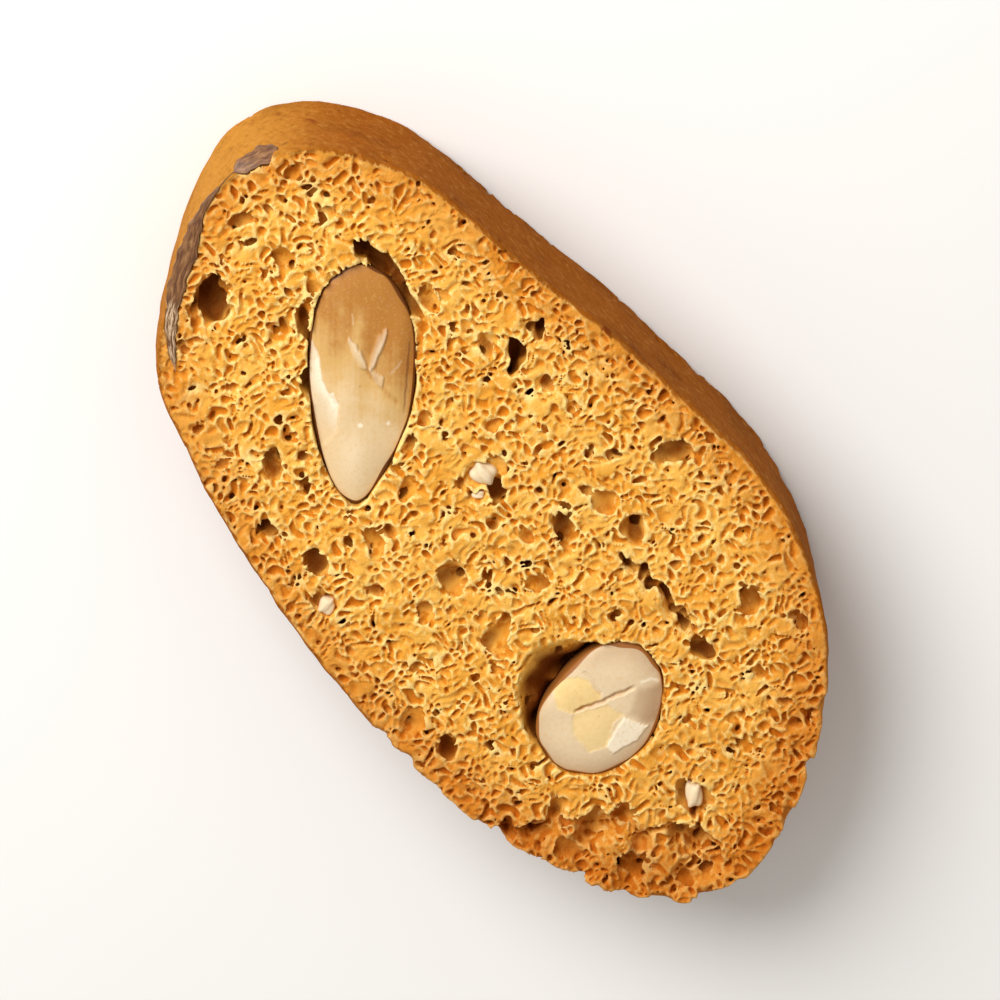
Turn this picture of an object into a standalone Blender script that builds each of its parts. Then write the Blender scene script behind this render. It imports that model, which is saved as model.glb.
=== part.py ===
"""One slice of twice-baked almond biscuit: a porous oval slab with a baked skin round its side, and cut almonds."""

import math
import random
from bisect import bisect_right

import bmesh
import bpy
from mathutils import Matrix, Vector, noise

MM = 0.001  # every size and place below is in millimetres, and the meshes are in metres

# The slice lies on one cut face. +X runs along it, +Y points to the domed side of the loaf, -Y to its flat base.
THICKNESS = 15.0
HALF_LENGTH = 45.3
HALF_WIDTH = 23.5
OUTLINE = (
    (45.2, -6.6), (42.4, 3.2), (36.2, 12.2), (27.6, 19.2), (14.5, 23.3), (-3.0, 22.3), (-20.0, 19.7),
    (-33.0, 17.5), (-42.0, 11.4), (-45.2, 4.0), (-43.0, -3.4), (-38.6, -10.4), (-33.2, -16.2), (-24.0, -19.2),
    (-9.8, -22.1), (8.0, -23.5), (24.0, -22.0), (34.0, -18.6), (42.0, -13.0),
)
SPAN_STEPS = 12  # points along each stretch of the outline's curve
GRID = (31, 17, 4)  # cuts across the slab along X, Y and Z
RIM_ROUND = 0.35
BASE_ROUND = 0.3
WALL_LEAN = 0.8  # how far the wall comes in at the bottom, on its right-hand domed side
LEAN_DIRECTION = math.radians(45)
FACE_RELIEF = 0.16
FACE_RELIEF_PITCH = 4.5
WALL_RELIEF = 0.22
WALL_RELIEF_PITCH = 7.0
TORN_CENTRE = (36.0, -13.0)  # where the crumb tore as it was sliced, by the right-hand end
TORN_REACH = 11.0
TORN_DEPTH = 2.2
TORN_PITCH = 2.6

# Bubbles opened by the knife: place, length, width, turn in degrees, depth
OPEN_BUBBLES = (
    (-36.5, -6.2, 4.6, 3.0, -40, 3.4), (-40.9, 1.0, 2.0, 1.2, 50, 1.3), (-22.3, 10.2, 2.0, 1.8, 0, 0.9),
    (-29.6, -2.7, 2.0, 1.2, -40, 0.9), (-15.3, 11.6, 2.0, 1.4, -40, 1.3), (-12.5, 12.6, 3.3, 1.6, -40, 3.0),
    (-12.9, 16.7, 2.4, 1.1, -45, 2.0), (-8.4, 13.4, 1.6, 1.4, 20, 1.8), (-19.2, -12.9, 2.8, 2.3, -40, 1.6),
    (-8.6, -4.6, 1.9, 1.5, -40, 1.2), (5.4, 18.6, 2.9, 1.9, 50, 1.5), (-2.5, 2.2, 1.6, 1.4, 10, 2.0),
    (-14.1, -17.9, 1.6, 1.5, 0, 1.8), (-8.6, -16.6, 3.0, 1.9, -40, 2.1), (-6.6, -10.5, 3.6, 1.5, -40, 1.1),
    (1.3, -7.1, 3.5, 2.3, -40, 2.0), (-2.6, -13.9, 1.5, 1.1, 30, 1.5), (4.6, 5.0, 4.2, 2.1, -35, 1.7),
    (5.0, 9.6, 2.6, 2.2, 30, 1.5), (9.1, 9.8, 2.6, 1.6, -35, 1.9), (23.4, 7.3, 2.3, 1.7, 10, 2.3),
    (22.4, 13.8, 3.3, 2.4, -40, 0.9), (2.6, -11.4, 2.0, 1.4, -40, 1.3), (7.4, -1.0, 1.7, 1.0, 50, 1.5),
    (9.3, -7.9, 3.4, 2.4, -60, 1.5), (27.2, -15.0, 2.3, 1.6, -40, 1.6), (32.0, -10.6, 3.2, 1.7, 60, 1.9),
    (31.2, -17.0, 2.8, 1.9, 20, 1.7), (37.0, -12.6, 3.2, 2.0, 40, 1.9), (35.6, 9.2, 1.7, 1.2, -60, 1.2),
)
TEAR = ((11.6, 7.2), (13.6, 8.5), (15.6, 7.4), (17.8, 8.9), (19.8, 7.6))  # a jagged crack in the face
TEAR_WIDTH = 1.1
TEAR_DEPTH = 1.9
SMALL_BUBBLES = {"top": 26, "base": 30}
SMALL_BUBBLE_SIZE = (1.0, 1.9)
LARGE_BASE_BUBBLES = 9
LARGE_BUBBLE_SIZE = (2.3, 3.9)
BUBBLE_EDGE_CLEARANCE = 2.2
BUBBLE_GAP = 0.5
FINER_BUBBLE = 2.2  # bubbles longer than this get rounder walls
SIDE_PITS = 9
SEED = 23

# Ribs that the baking sheet pressed into the loaf's flat base
RIB_PITCH = 2.3
RIB_RADIUS = 1.0
RIB_DEPTH = 0.42
RIB_REACH_X = (-27.0, 29.0)
RIB_FADE_HEIGHT = 13.2

ALMOND_GAP = 0.35  # between an almond and the crumb round it
SPHERE_RINGS = (18, 10)

# Almonds opened by the knife: place, length, width, turn, depth in the crumb, height of the crown, face
ALMONDS = {
    "almond_lengthwise": dict(at=(-20.2, -0.5), length=25.4, width=11.2, turn=-42, depth=4.6, crown=0.55,
                              point=0.30, face="top"),
    "almond_crosswise": dict(at=(21.1, -4.4), length=15.0, width=11.6, turn=99, depth=10.5, crown=0.4,
                             point=0.04, face="top"),
    "almond_under_lengthwise": dict(at=(1.5, 7.5), length=22.6, width=11.4, turn=163, depth=4.4, crown=0.4,
                                    point=0.28, face="base"),
    "almond_under_crosswise": dict(at=(-25.0, -6.8), length=12.4, width=9.2, turn=60, depth=6.5, crown=0.3,
                                   point=0.05, face="base"),
}
FACE_SINK = 0.5  # the widest line of a cut almond lies this far inside the face
WIDE_POCKETS = {  # an open gap beside an almond: place, length, width, turn, depth
    "gap_crosswise": ((16.3, -6.9), 10.6, 6.0, -62, 5.0),
    "gap_blunt_end": ((-27.2, 8.0), 6.6, 3.2, 20, 2.6),
    "gap_long_side": ((-24.7, -3.5), 3.6, 2.4, -42, 2.0),
}

# The sliver of a third almond that shows its skin along the rim at the left-hand end
RIM_ALMOND_SPAN = (math.radians(160.5), math.radians(214.0))
RIM_ALMOND_LOBES = ((-0.72, 0.20, 0.95), (0.30, 0.42, 0.90))  # place along it, reach, half width
RIM_ALMOND_NECK = 0.32
RIM_ALMOND_HALF_DEPTH = 1.6
RIM_ALMOND_TOP_SINK = 0.25
RIM_POCKET_SHIFT = 0.45  # its pocket lies this much further out and up, so that it opens at the rim

# Chips of nut fused to the crumb: place, size
CHIPS = ((34.6, -3.8, 2.2), (-4.3, -18.6, 2.0), (-5.6, 3.2, 2.4))
CHIP_SINK = 0.35

COLOURS = {
    "biscuit": ((0.78, 0.41, 0.09), 0.85),
    "almond": ((0.78, 0.56, 0.29), 0.55),
    "skin": ((0.33, 0.17, 0.07), 0.6),
}


def material(name):
    colour, roughness = COLOURS[name]
    made = bpy.data.materials.new(name)
    made.use_nodes = True
    shader = made.node_tree.nodes["Principled BSDF"]
    shader.inputs["Base Color"].default_value = (*colour, 1.0)
    shader.inputs["Roughness"].default_value = roughness
    shader.inputs["Metallic"].default_value = 0.0
    return made


def closed_curve(points, steps):
    """Points along the smooth closed curve through the given ones."""
    found = []
    count = len(points)
    for i in range(count):
        before, start, end, after = (Vector(points[(i + k) % count]) for k in (-1, 0, 1, 2))
        for step in range(steps):
            t = step / steps
            bend = 2 * before - 5 * start + 4 * end - after
            twist = 3 * start - before - 3 * end + after
            found.append(0.5 * (2 * start + (end - before) * t + bend * t * t + twist * t * t * t))
    return found


class Outline:
    """The slice's edge, read by direction. Directions are those of an ellipse squeezed to a circle."""

    def __init__(self):
        curve = closed_curve(OUTLINE, SPAN_STEPS)
        squeezed = sorted(
            (math.atan2(p.y / HALF_WIDTH, p.x / HALF_LENGTH), math.hypot(p.x / HALF_LENGTH, p.y / HALF_WIDTH))
            for p in curve
        )
        first, last = squeezed[0], squeezed[-1]
        turn = 2 * math.pi
        self.table = [(last[0] - turn, last[1])] + squeezed + [(first[0] + turn, first[1])]
        self.angles = [a for a, _ in self.table]

    def reach(self, angle):
        angle = math.remainder(angle, 2 * math.pi)
        i = min(bisect_right(self.angles, angle), len(self.table) - 1)
        (a0, r0), (a1, r1) = self.table[i - 1], self.table[i]
        return r0 + (r1 - r0) * (angle - a0) / max(a1 - a0, 1e-9)

    def point(self, angle, share=1.0):
        r = self.reach(angle) * share
        return Vector((math.cos(angle) * r * HALF_LENGTH, math.sin(angle) * r * HALF_WIDTH))

    def normal(self, angle):
        along = self.point(angle + 0.02) - self.point(angle - 0.02)
        return Vector((along.y, -along.x)).normalized()

    def inside(self, x, y, clearance):
        angle = math.atan2(y / HALF_WIDTH, x / HALF_LENGTH)
        return math.hypot(x, y) < self.point(angle).length - clearance


def from_square(x, y):
    """The unit square laid over the unit disc: returns direction and share of the way out."""
    dx, dy = x * math.sqrt(1 - y * y / 2), y * math.sqrt(1 - x * x / 2)
    return math.atan2(dy, dx), math.hypot(dx, dy)


def object_from(name, bm, finish, parent, smooth=True):
    if bm.calc_volume(signed=True) < 0:
        bmesh.ops.reverse_faces(bm, faces=bm.faces[:])
    bm.normal_update()
    mesh = bpy.data.meshes.new(name)
    bm.to_mesh(mesh)
    bm.free()
    mesh.transform(Matrix.Scale(MM, 4))
    if finish:
        mesh.materials.append(finish)
    if smooth:
        mesh.shade_smooth()
        mesh.set_sharp_from_angle(angle=math.radians(40))
    made = bpy.data.objects.new(name, mesh)
    bpy.context.scene.collection.objects.link(made)
    made.parent = parent
    return made


def torn_share(x, y):
    far = math.hypot(x - TORN_CENTRE[0], y - TORN_CENTRE[1]) / TORN_REACH
    return max(0.0, 1.0 - far * far)


def slab(outline, finish, parent):
    """The plain slab: a cube cut into a grid, laid over the outline, then roughened."""
    bm = bmesh.new()
    bmesh.ops.create_cube(bm, size=2.0)
    for axis, cuts in enumerate(GRID):
        along = [e for e in bm.edges if abs(e.verts[0].co[axis] - e.verts[1].co[axis]) > 1.0]
        bmesh.ops.subdivide_edges(bm, edges=along, cuts=cuts, use_grid_fill=True)
    lean_way = Vector((math.cos(LEAN_DIRECTION), math.sin(LEAN_DIRECTION)))
    for v in bm.verts:
        angle, share = from_square(v.co.x, v.co.y)
        level = 0.5 + 0.5 * math.sin(v.co.z * math.pi / 2)
        z = THICKNESS * level
        place = outline.point(angle, share)
        way = outline.normal(angle)
        if share > 0.999:
            inset = WALL_LEAN * (1 - level) * max(0.0, way.dot(lean_way))
            if v.co.z > 0.999:
                torn = torn_share(place.x, place.y)
                notch = max(0.0, noise.noise(Vector((*place, 3.0)) / TORN_PITCH))
                inset += RIM_ROUND + 1.6 * TORN_DEPTH * torn * notch
                z -= RIM_ROUND + TORN_DEPTH * torn * notch
            elif v.co.z < -0.999:
                inset += BASE_ROUND
            else:
                inset -= WALL_RELIEF * noise.noise(Vector((*place, z)) / WALL_RELIEF_PITCH)
            place -= way * inset
        elif v.co.z > 0.999:
            edge = min(1.0, (1.0 - share) * 12)
            z += FACE_RELIEF * edge * (noise.noise(Vector((*place, 0.0)) / FACE_RELIEF_PITCH) - 0.5)
            z -= TORN_DEPTH * torn_share(*place) * abs(noise.noise(Vector((*place, 9.0)) / TORN_PITCH))
        v.co = (place.x, place.y, z)
    return object_from("biscuit", bm, finish, parent)


def blob(bm, place, radii, turn=0.0, finer=True, seed=0.0, rough=0.16):
    """A closed lump of uneven radius, added to bm."""
    made = bmesh.ops.create_icosphere(bm, subdivisions=2 if finer else 1, radius=1.0)
    turned = Matrix.Rotation(turn, 4, "Z")
    for v in made["verts"]:
        uneven = 1.0 + rough * noise.noise(v.co * 1.7 + Vector((seed, -seed, 2 * seed)))
        v.co = turned @ Vector([c * r * uneven for c, r in zip(v.co, radii)]) + Vector(place)


def bubble(bm, x, y, length, width, turn, depth, face, seed):
    """A lump that opens the face with the given length and width, and reaches the given depth."""
    over = 0.3 * depth
    half_height = (depth + over) / 2
    centre_depth = half_height - over
    widen = 1.0 / math.sqrt(1.0 - (centre_depth / half_height) ** 2)
    z = THICKNESS - centre_depth if face == "top" else centre_depth
    radii = (length / 2 * widen, width / 2 * widen, half_height)
    blob(bm, (x, y, z), radii, math.radians(turn), finer=length > FINER_BUBBLE, seed=seed)


def clear_of(x, y, radius, taken):
    return all(math.hypot(x - tx, y - ty) > radius + tr + BUBBLE_GAP for tx, ty, tr in taken)


def almond_zones(face):
    """Circles along each almond and gap on a face, that scattered bubbles keep clear of."""
    zones = []
    for a in ALMONDS.values():
        way = Vector((math.cos(math.radians(a["turn"])), math.sin(math.radians(a["turn"]))))
        spare = (a["length"] - a["width"]) / 2
        for k in (-1, -0.5, 0, 0.5, 1):
            mid = Vector(a["at"]) + way * spare * k
            if a["face"] == face:
                zones.append((mid.x, mid.y, a["width"] / 2 + 0.5))
    if face == "top":
        zones += [(*at, 0.5 * max(length, width)) for at, length, width, _, _ in WIDE_POCKETS.values()]
        zones += [(*p, TEAR_WIDTH) for p in TEAR]
        zones += [(x, y, size * 0.8) for x, y, size in CHIPS]
    return zones


def bubble_cutter(outline, parent):
    """Every opened bubble on both cut faces and in the wall, none touching another."""
    draw = random.Random(SEED)
    bm = bmesh.new()
    for face in ("top", "base"):
        taken = almond_zones(face)
        if face == "top":
            for i, (x, y, length, width, turn, depth) in enumerate(OPEN_BUBBLES):
                bubble(bm, x, y, length, width, turn, depth, face, seed=i * 1.37)
                taken.append((x, y, 0.45 * (length + width) / 2))
        sizes = [LARGE_BUBBLE_SIZE] * (LARGE_BASE_BUBBLES if face == "base" else 0)
        sizes += [SMALL_BUBBLE_SIZE] * SMALL_BUBBLES[face]
        for low, high in sizes:
            size = draw.uniform(low, high)
            for _ in range(200):
                x, y = draw.uniform(-HALF_LENGTH, HALF_LENGTH), draw.uniform(-HALF_WIDTH, HALF_WIDTH)
                if outline.inside(x, y, BUBBLE_EDGE_CLEARANCE) and clear_of(x, y, size / 2, taken):
                    width = size * draw.uniform(0.6, 0.95)
                    depth = size * draw.uniform(0.5, 0.9)
                    bubble(bm, x, y, size, width, draw.uniform(0, 180), depth, face, draw.uniform(0, 50))
                    taken.append((x, y, size / 2))
                    break
    for i in range(SIDE_PITS):
        angle = 2 * math.pi * (i + draw.uniform(0.2, 0.8)) / SIDE_PITS
        place = outline.point(angle)
        if place.y > 0 or place.x > 34:
            z = draw.uniform(4.0, THICKNESS - 4.0)
            blob(bm, (place.x, place.y, z), [draw.uniform(0.5, 0.9)] * 3, finer=False, seed=i)
    return cutter("open_bubbles", bm, parent)


def cutter(name, bm, parent):
    made = object_from(name, bm, None, parent, smooth=False)
    made.hide_render = True
    made.display_type = "WIRE"
    return made


def tear_cutter(parent):
    """A jagged crack: a strip of two rows of points, given depth, pinched at both ends."""
    bm = bmesh.new()
    last = len(TEAR) - 1
    rows = []
    for i, (x, y) in enumerate(TEAR):
        half = TEAR_WIDTH / 2 * (0.35 if i in (0, last) else 1.0)
        rows.append([bm.verts.new((x, y + side * half, THICKNESS - TEAR_DEPTH)) for side in (-1, 1)])
    faces = [bm.faces.new((a[0], b[0], b[1], a[1])) for a, b in zip(rows, rows[1:])]
    raised = bmesh.ops.extrude_face_region(bm, geom=faces)["geom"]
    for v in raised:
        if isinstance(v, bmesh.types.BMVert):
            v.co.z = THICKNESS + 1.0
    bmesh.ops.recalc_face_normals(bm, faces=bm.faces[:])
    return cutter("tear", bm, parent)


def rib_cutter(outline, parent):
    """Grooves across the loaf's flat base, deepest at the bottom and fading below the top face."""
    bm = bmesh.new()
    low_x, high_x = RIB_REACH_X
    tilt = math.atan2(RIB_DEPTH, RIB_FADE_HEIGHT)
    for i in range(int((high_x - low_x) / RIB_PITCH) + 1):
        x = low_x + i * RIB_PITCH
        angle = -math.acos(max(-1.0, min(1.0, x / HALF_LENGTH)))
        for _ in range(6):
            angle += (x - outline.point(angle).x) / (HALF_LENGTH * max(0.3, -math.sin(angle)))
        place, way = outline.point(angle), outline.normal(angle)
        made = bmesh.ops.create_cone(
            bm, cap_ends=True, segments=6, radius1=RIB_RADIUS, radius2=RIB_RADIUS, depth=2 * THICKNESS
        )
        out = place + way * (RIB_RADIUS - RIB_DEPTH)
        across = Matrix.Rotation(tilt, 4, Vector((way.y, -way.x, 0.0)))
        bmesh.ops.transform(bm, matrix=Matrix.Translation((out.x, out.y, 0.0)) @ across.inverted(), verts=made["verts"])
    return cutter("ribs", bm, parent)


def almond_form(bm, a, grow=0.0, above=None):
    """A cut almond: half an almond in the crumb under a low crown, blunt at one end and pointed at the other."""
    segments, rings = SPHERE_RINGS
    made = bmesh.ops.create_uvsphere(bm, u_segments=segments, v_segments=rings, radius=1.0)
    half_length, half_width = a["length"] / 2 + grow, a["width"] / 2 + grow
    turned = Matrix.Rotation(math.radians(a["turn"]), 4, "Z")
    base = a["face"] == "base"
    for v in made["verts"]:
        x, y, z = v.co
        y *= (1.0 - a["point"] * x) * (1.0 - 0.5 * a["point"] * x * x)
        if z > 0:
            flat = math.hypot(v.co.x, v.co.y)
            boxy = flat ** -0.75 if above and flat > 0.01 else 1.0
            height = (above or a["crown"]) * (z ** 0.5 if above else z)
            x, y = x * boxy, y * boxy
        else:
            height = (a["depth"] + grow) * z
        place = turned @ Vector((x * half_length, y * half_width, 0.0))
        level = THICKNESS - FACE_SINK + height
        v.co = (a["at"][0] + place.x, a["at"][1] + place.y, THICKNESS - level if base else level)


def rim_almond_form(bm, outline, grow=0.0, shift=0.0):
    """A thin almond sliver bent along the rim, with two wide stretches of skin and a narrow neck between."""
    segments, rings = SPHERE_RINGS
    made = bmesh.ops.create_uvsphere(bm, u_segments=rings, v_segments=segments, radius=1.0)
    start, end = RIM_ALMOND_SPAN
    for v in made["verts"]:
        along = -v.co.z
        ring = max(1e-6, math.hypot(v.co.x, v.co.y))
        half = RIM_ALMOND_NECK
        for centre, reach, width in RIM_ALMOND_LOBES:
            half += (width - RIM_ALMOND_NECK) * math.exp(-(((along - centre) / reach) ** 2))
        taper = min(1.0, (1.0 - along * along) ** 0.5 * 1.6)
        half = half * taper + grow
        deep = RIM_ALMOND_HALF_DEPTH * taper + grow
        angle = start + (end - start) * (0.5 + 0.5 * along * (1.0 + 0.5 * grow / 12.0))
        way = outline.normal(angle)
        inset = RIM_ROUND + half - grow - shift
        place = outline.point(angle) - way * (inset - half * v.co.x / ring * min(1.0, ring * 40))
        level = THICKNESS - RIM_ALMOND_TOP_SINK - RIM_ALMOND_HALF_DEPTH + shift
        v.co = (place.x, place.y, level + deep * v.co.y / ring * min(1.0, ring * 40))


def cut(body, tool, operation="DIFFERENCE"):
    made = body.modifiers.new(tool.name, "BOOLEAN")
    made.operation = operation
    made.solver = "EXACT"
    made.object = tool


def main():
    for old in list(bpy.data.objects):
        bpy.data.objects.remove(old)
    finishes = {name: material(name) for name in COLOURS}
    outline = Outline()
    origin = bpy.data.objects.new("slice_origin", None)
    bpy.context.scene.collection.objects.link(origin)

    biscuit = slab(outline, finishes["biscuit"], origin)
    for name, sizes in ALMONDS.items():
        bm = bmesh.new()
        almond_form(bm, sizes)
        object_from(name, bm, finishes["almond"], origin)
        bm = bmesh.new()
        almond_form(bm, sizes, grow=ALMOND_GAP, above=2.5)
        cut(biscuit, cutter(f"pocket_{name}", bm, origin))
    bm = bmesh.new()
    rim_almond_form(bm, outline)
    object_from("almond_rim", bm, finishes["skin"], origin)
    bm = bmesh.new()
    rim_almond_form(bm, outline, grow=ALMOND_GAP + RIM_POCKET_SHIFT, shift=RIM_POCKET_SHIFT)
    cut(biscuit, cutter("pocket_almond_rim", bm, origin))
    for name, ((x, y), length, width, turn, depth) in WIDE_POCKETS.items():
        bm = bmesh.new()
        bubble(bm, x, y, length, width, turn, depth, "top", seed=len(name))
        cut(biscuit, cutter(name, bm, origin))
    cut(biscuit, bubble_cutter(outline, origin))
    cut(biscuit, tear_cutter(origin))
    cut(biscuit, rib_cutter(outline, origin))
    bm = bmesh.new()
    for i, (x, y, size) in enumerate(CHIPS):
        blob(bm, (x, y, THICKNESS - CHIP_SINK - size / 2 + 0.2), (size / 2, size * 0.4, size / 2), i, finer=False, seed=i)
    cut(biscuit, cutter("chips", bm, origin), "UNION")

    bpy.context.view_layer.update()
    shown = biscuit.evaluated_get(bpy.context.evaluated_depsgraph_get())
    corners = [Vector(c) for c in shown.bound_box]
    low = Vector([min(c[k] for c in corners) for k in range(3)])
    high = Vector([max(c[k] for c in corners) for k in range(3)])
    origin.location = (-(low.x + high.x) / 2, -(low.y + high.y) / 2, -low.z)


main()
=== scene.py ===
# A slice of almond biscotti: the looks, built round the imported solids
import bpy
import bmesh
import math
import numpy as np
import openvdb
from mathutils import Matrix, Vector


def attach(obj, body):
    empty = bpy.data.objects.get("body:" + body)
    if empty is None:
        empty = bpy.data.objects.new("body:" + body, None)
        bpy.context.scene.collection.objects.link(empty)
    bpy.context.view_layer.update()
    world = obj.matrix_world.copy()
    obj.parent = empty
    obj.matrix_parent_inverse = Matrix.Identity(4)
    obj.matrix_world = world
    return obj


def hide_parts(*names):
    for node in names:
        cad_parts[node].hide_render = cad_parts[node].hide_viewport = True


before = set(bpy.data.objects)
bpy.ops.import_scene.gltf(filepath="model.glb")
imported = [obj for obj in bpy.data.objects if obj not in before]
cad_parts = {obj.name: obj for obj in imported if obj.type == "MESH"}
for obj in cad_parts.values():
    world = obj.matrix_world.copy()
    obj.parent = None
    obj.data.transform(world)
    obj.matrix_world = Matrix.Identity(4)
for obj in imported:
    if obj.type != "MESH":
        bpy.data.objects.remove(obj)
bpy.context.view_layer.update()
mm = 0.001  # the scene is in metres, and the values below are in millimetres
sliceSizes = {
    "thickness": 15.0,
    "planShift": (0.137, 0.056, 0.0),  # from the plan that the outline is drawn in to the frame's origin
}
thickness = sliceSizes["thickness"]
dry = 0.9  # roughness of whatever has no gloss


# Small helpers

def linearColour(hexText):
    parts = [int(hexText[i:i + 2], 16) / 255 for i in (1, 3, 5)]
    return tuple(c / 12.92 if c <= 0.04045 else ((c + 0.055) / 1.055) ** 2.4 for c in parts) + (1.0,)


def smoothStep(low, high, value):
    t = np.clip((value - low) / (high - low), 0.0, 1.0)
    return t * t * (3 - 2 * t)


def between(value, low, full, fullEnd, high):
    # 1 from full to fullEnd, falling to 0 at low and at high
    return smoothStep(low, full, value) * smoothStep(high, fullEnd, value)


def turned(x, y, degrees):
    # The place in axes that are turned by the given angle
    c, s = math.cos(math.radians(degrees)), math.sin(math.radians(degrees))
    return x * c + y * s, y * c - x * s


def splineShares(count, step, pitch, offset):
    # How much each lattice point adds to each sample, for a smooth cubic spline
    place = np.arange(count) * step / pitch + offset
    first = np.floor(place).astype(int)
    t = place - first
    shares = np.zeros((count, first.max() + 4), np.float32)
    rows = np.arange(count)
    shares[rows, first] = (1 - t) ** 3 / 6
    shares[rows, first + 1] = (3 * t ** 3 - 6 * t ** 2 + 4) / 6
    shares[rows, first + 2] = (-3 * t ** 3 + 3 * t ** 2 + 3 * t + 1) / 6
    shares[rows, first + 3] = t ** 3 / 6
    return shares


def smoothNoise(draw, counts, step, pitch):
    # Smooth random values of about unit spread, on a grid of two or three directions
    shares = [splineShares(n, step, pitch, draw.random()) for n in counts]
    field = draw.standard_normal([s.shape[1] for s in shares]).astype(np.float32)
    for s in shares:
        field = np.tensordot(field, s, (0, 1))
    return field * (1.45 ** len(counts))


def curveThrough(knots, steps):
    # A smooth curve through all the knots but the first and last, which only give its direction
    found = []
    for before, start, end, after in zip(knots, knots[1:], knots[2:], knots[3:]):
        for t in np.arange(steps) / steps:
            bend = 2 * before - 5 * start + 4 * end - after
            twist = 3 * start - before - 3 * end + after
            found.append(0.5 * (2 * start + (end - before) * t + bend * t * t + twist * t ** 3))
    return found


def closedCurve(points, steps):
    knots = [np.array(p, float) for p in points]
    return np.array(curveThrough(knots[-1:] + knots + knots[:2], steps))


def distanceToLine(x, y, points, closed=False):
    # Distance from each place to a line through the points, and how far along the line, 0 to 1
    best = np.full(np.broadcast(x, y).shape, 1e9, np.float32)
    along = np.zeros_like(best)
    ends = list(zip(points, list(points[1:]) + ([points[0]] if closed else [])))
    for i, (a, b) in enumerate(ends):
        a, b = np.array(a, float), np.array(b, float)
        way = b - a
        t = np.clip(((x - a[0]) * way[0] + (y - a[1]) * way[1]) / (way @ way), 0, 1)
        far = np.hypot(x - a[0] - t * way[0], y - a[1] - t * way[1])
        nearer = far < best
        best = np.where(nearer, far, best)
        along = np.where(nearer, (i + t) / len(ends), along)
    return best, along


def meshFrom(name, points, faces):
    # faces is a list of arrays, one for each number of corners
    mesh = bpy.data.meshes.new(name)
    corners = np.concatenate([f.reshape(-1) for f in faces])
    sizes = np.concatenate([np.full(len(f), f.shape[1]) for f in faces])
    mesh.vertices.add(len(points))
    mesh.vertices.foreach_set("co", np.asarray(points, np.float32).reshape(-1))
    mesh.loops.add(len(corners))
    mesh.loops.foreach_set("vertex_index", corners.astype(np.int32))
    mesh.polygons.add(len(sizes))
    mesh.polygons.foreach_set("loop_start", np.concatenate([[0], np.cumsum(sizes)[:-1]]).astype(np.int32))
    mesh.update(calc_edges=True)
    return mesh


def meshOf(name, body):
    # Puts a bmesh into a new mesh, and frees it
    mesh = bpy.data.meshes.new(name)
    body.to_mesh(mesh)
    body.free()
    return mesh


def places(mesh):
    found = np.zeros(len(mesh.vertices) * 3, np.float32)
    mesh.vertices.foreach_get("co", found)
    return found.reshape(-1, 3)


def setValues(mesh, name, values):
    made = mesh.attributes.new(name, "FLOAT", "POINT")
    made.data.foreach_set("value", np.asarray(values, np.float32))


def finishPiece(name, mesh, finish, nodes):
    # The mesh comes in the plan's millimetres, and goes to the frame's metres
    mesh.transform(Matrix.Translation(Vector(sliceSizes["planShift"])))
    mesh.transform(Matrix.Scale(mm, 4))
    mesh.materials.append(finish)
    mesh.shade_smooth()
    made = bpy.data.objects.new(name, mesh)
    bpy.context.scene.collection.objects.link(made)
    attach(made, "root")
    if nodes:
        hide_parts(*nodes)
    return made


# Materials

def newMaterial(name):
    made = bpy.data.materials.new(name)
    made.use_nodes = True
    return made, made.node_tree.nodes["Principled BSDF"]


def setInputs(finish, node, inputs):
    # Sets each input to its value, or links it where the value is another node's output
    for key, value in inputs.items():
        if isinstance(value, bpy.types.NodeSocket):
            finish.node_tree.links.new(value, node.inputs[key])
        else:
            node.inputs[key].default_value = value


def addNode(finish, kind, settings, inputs, output=0):
    # Adds a node with its settings and links, and gives the output that is asked for
    node = finish.node_tree.nodes.new("ShaderNode" + kind)
    for key, value in settings.items():
        setattr(node, key, value)
    setInputs(finish, node, inputs)
    return node.outputs[output]


def layColours(finish, colour, layers):
    # Lays colours over one another, each as far as its mask goes from its first value to its second
    for mask, low, high, share, top, blend in layers:
        smooth = {"interpolation_type": "SMOOTHSTEP"}
        amount = addNode(finish, "MapRange", smooth, {0: mask, 1: low, 2: high, 3: 0.0, 4: share})
        over = {"data_type": "RGBA", "blend_type": blend}
        colour = addNode(finish, "Mix", over, {0: amount, 6: colour, 7: top}, 2)
    return colour


def roughen(finish, layers):
    # Bumps laid on one another, each with its height in millimetres
    normal = None
    for height, heightMm in layers:
        under = {} if normal is None else {"Normal": normal}
        normal = addNode(finish, "Bump", {}, {"Height": height, "Distance": heightMm * mm, **under})
    return normal


# Twice-baked crumb and crust: dry, rough and without gloss. The crumb's cut cells and hollows are painted
# orange, for the glow of light that sinks into the thin walls of bubbles, and painted shade turns them brown
# deep down; its ridges get a painted highlight. The crust is smoother and browner.
biscuitColours = {
    # painted highlight on the ridges between the crumb's cells
    "ridgeHighlight": "#FBDB8C",
    "pale": "#F0B552",
    "golden": "#E59E38",
    # hollow: random specks, and painted glow and shade in the cells and hollows
    "hollow": "#CC7A1A",
    # painted shade far down in bubbles and pockets
    "deep": "#6A2A06",
    "toasted": "#D6A674",  # multiplies the crumb's colours where they are toasted most, and as painted shade under the torn lip
    "crustLight": "#BE8230",
    "crustBrown": "#9A5410",
    "crustDark": "#6E380A",
    "crustPale": "#C79048",
    "crustSpot": "#702A08",
}
biscuitPatterns = {  # size in millimetres, detail and roughness of each
    "patches": (5.0, 3, 0.6),
    "specks": (0.7, 4, 0.65),
    "grain": (0.26, 4, 0.6),
    "clouds": (6.5, 3, 0.5),
    "spots": (3.4, 2, 0.5),
    "streaks": (0.6, 3, 0.55),
    "streakLean": 30,  # degrees
    "streakLength": 3.5,  # times their width
    "grainHeight": 0.12,
    "streakHeight": 0.06,
    "crustGrain": 0.55,  # share of the grain's height that the crust has
}


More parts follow.
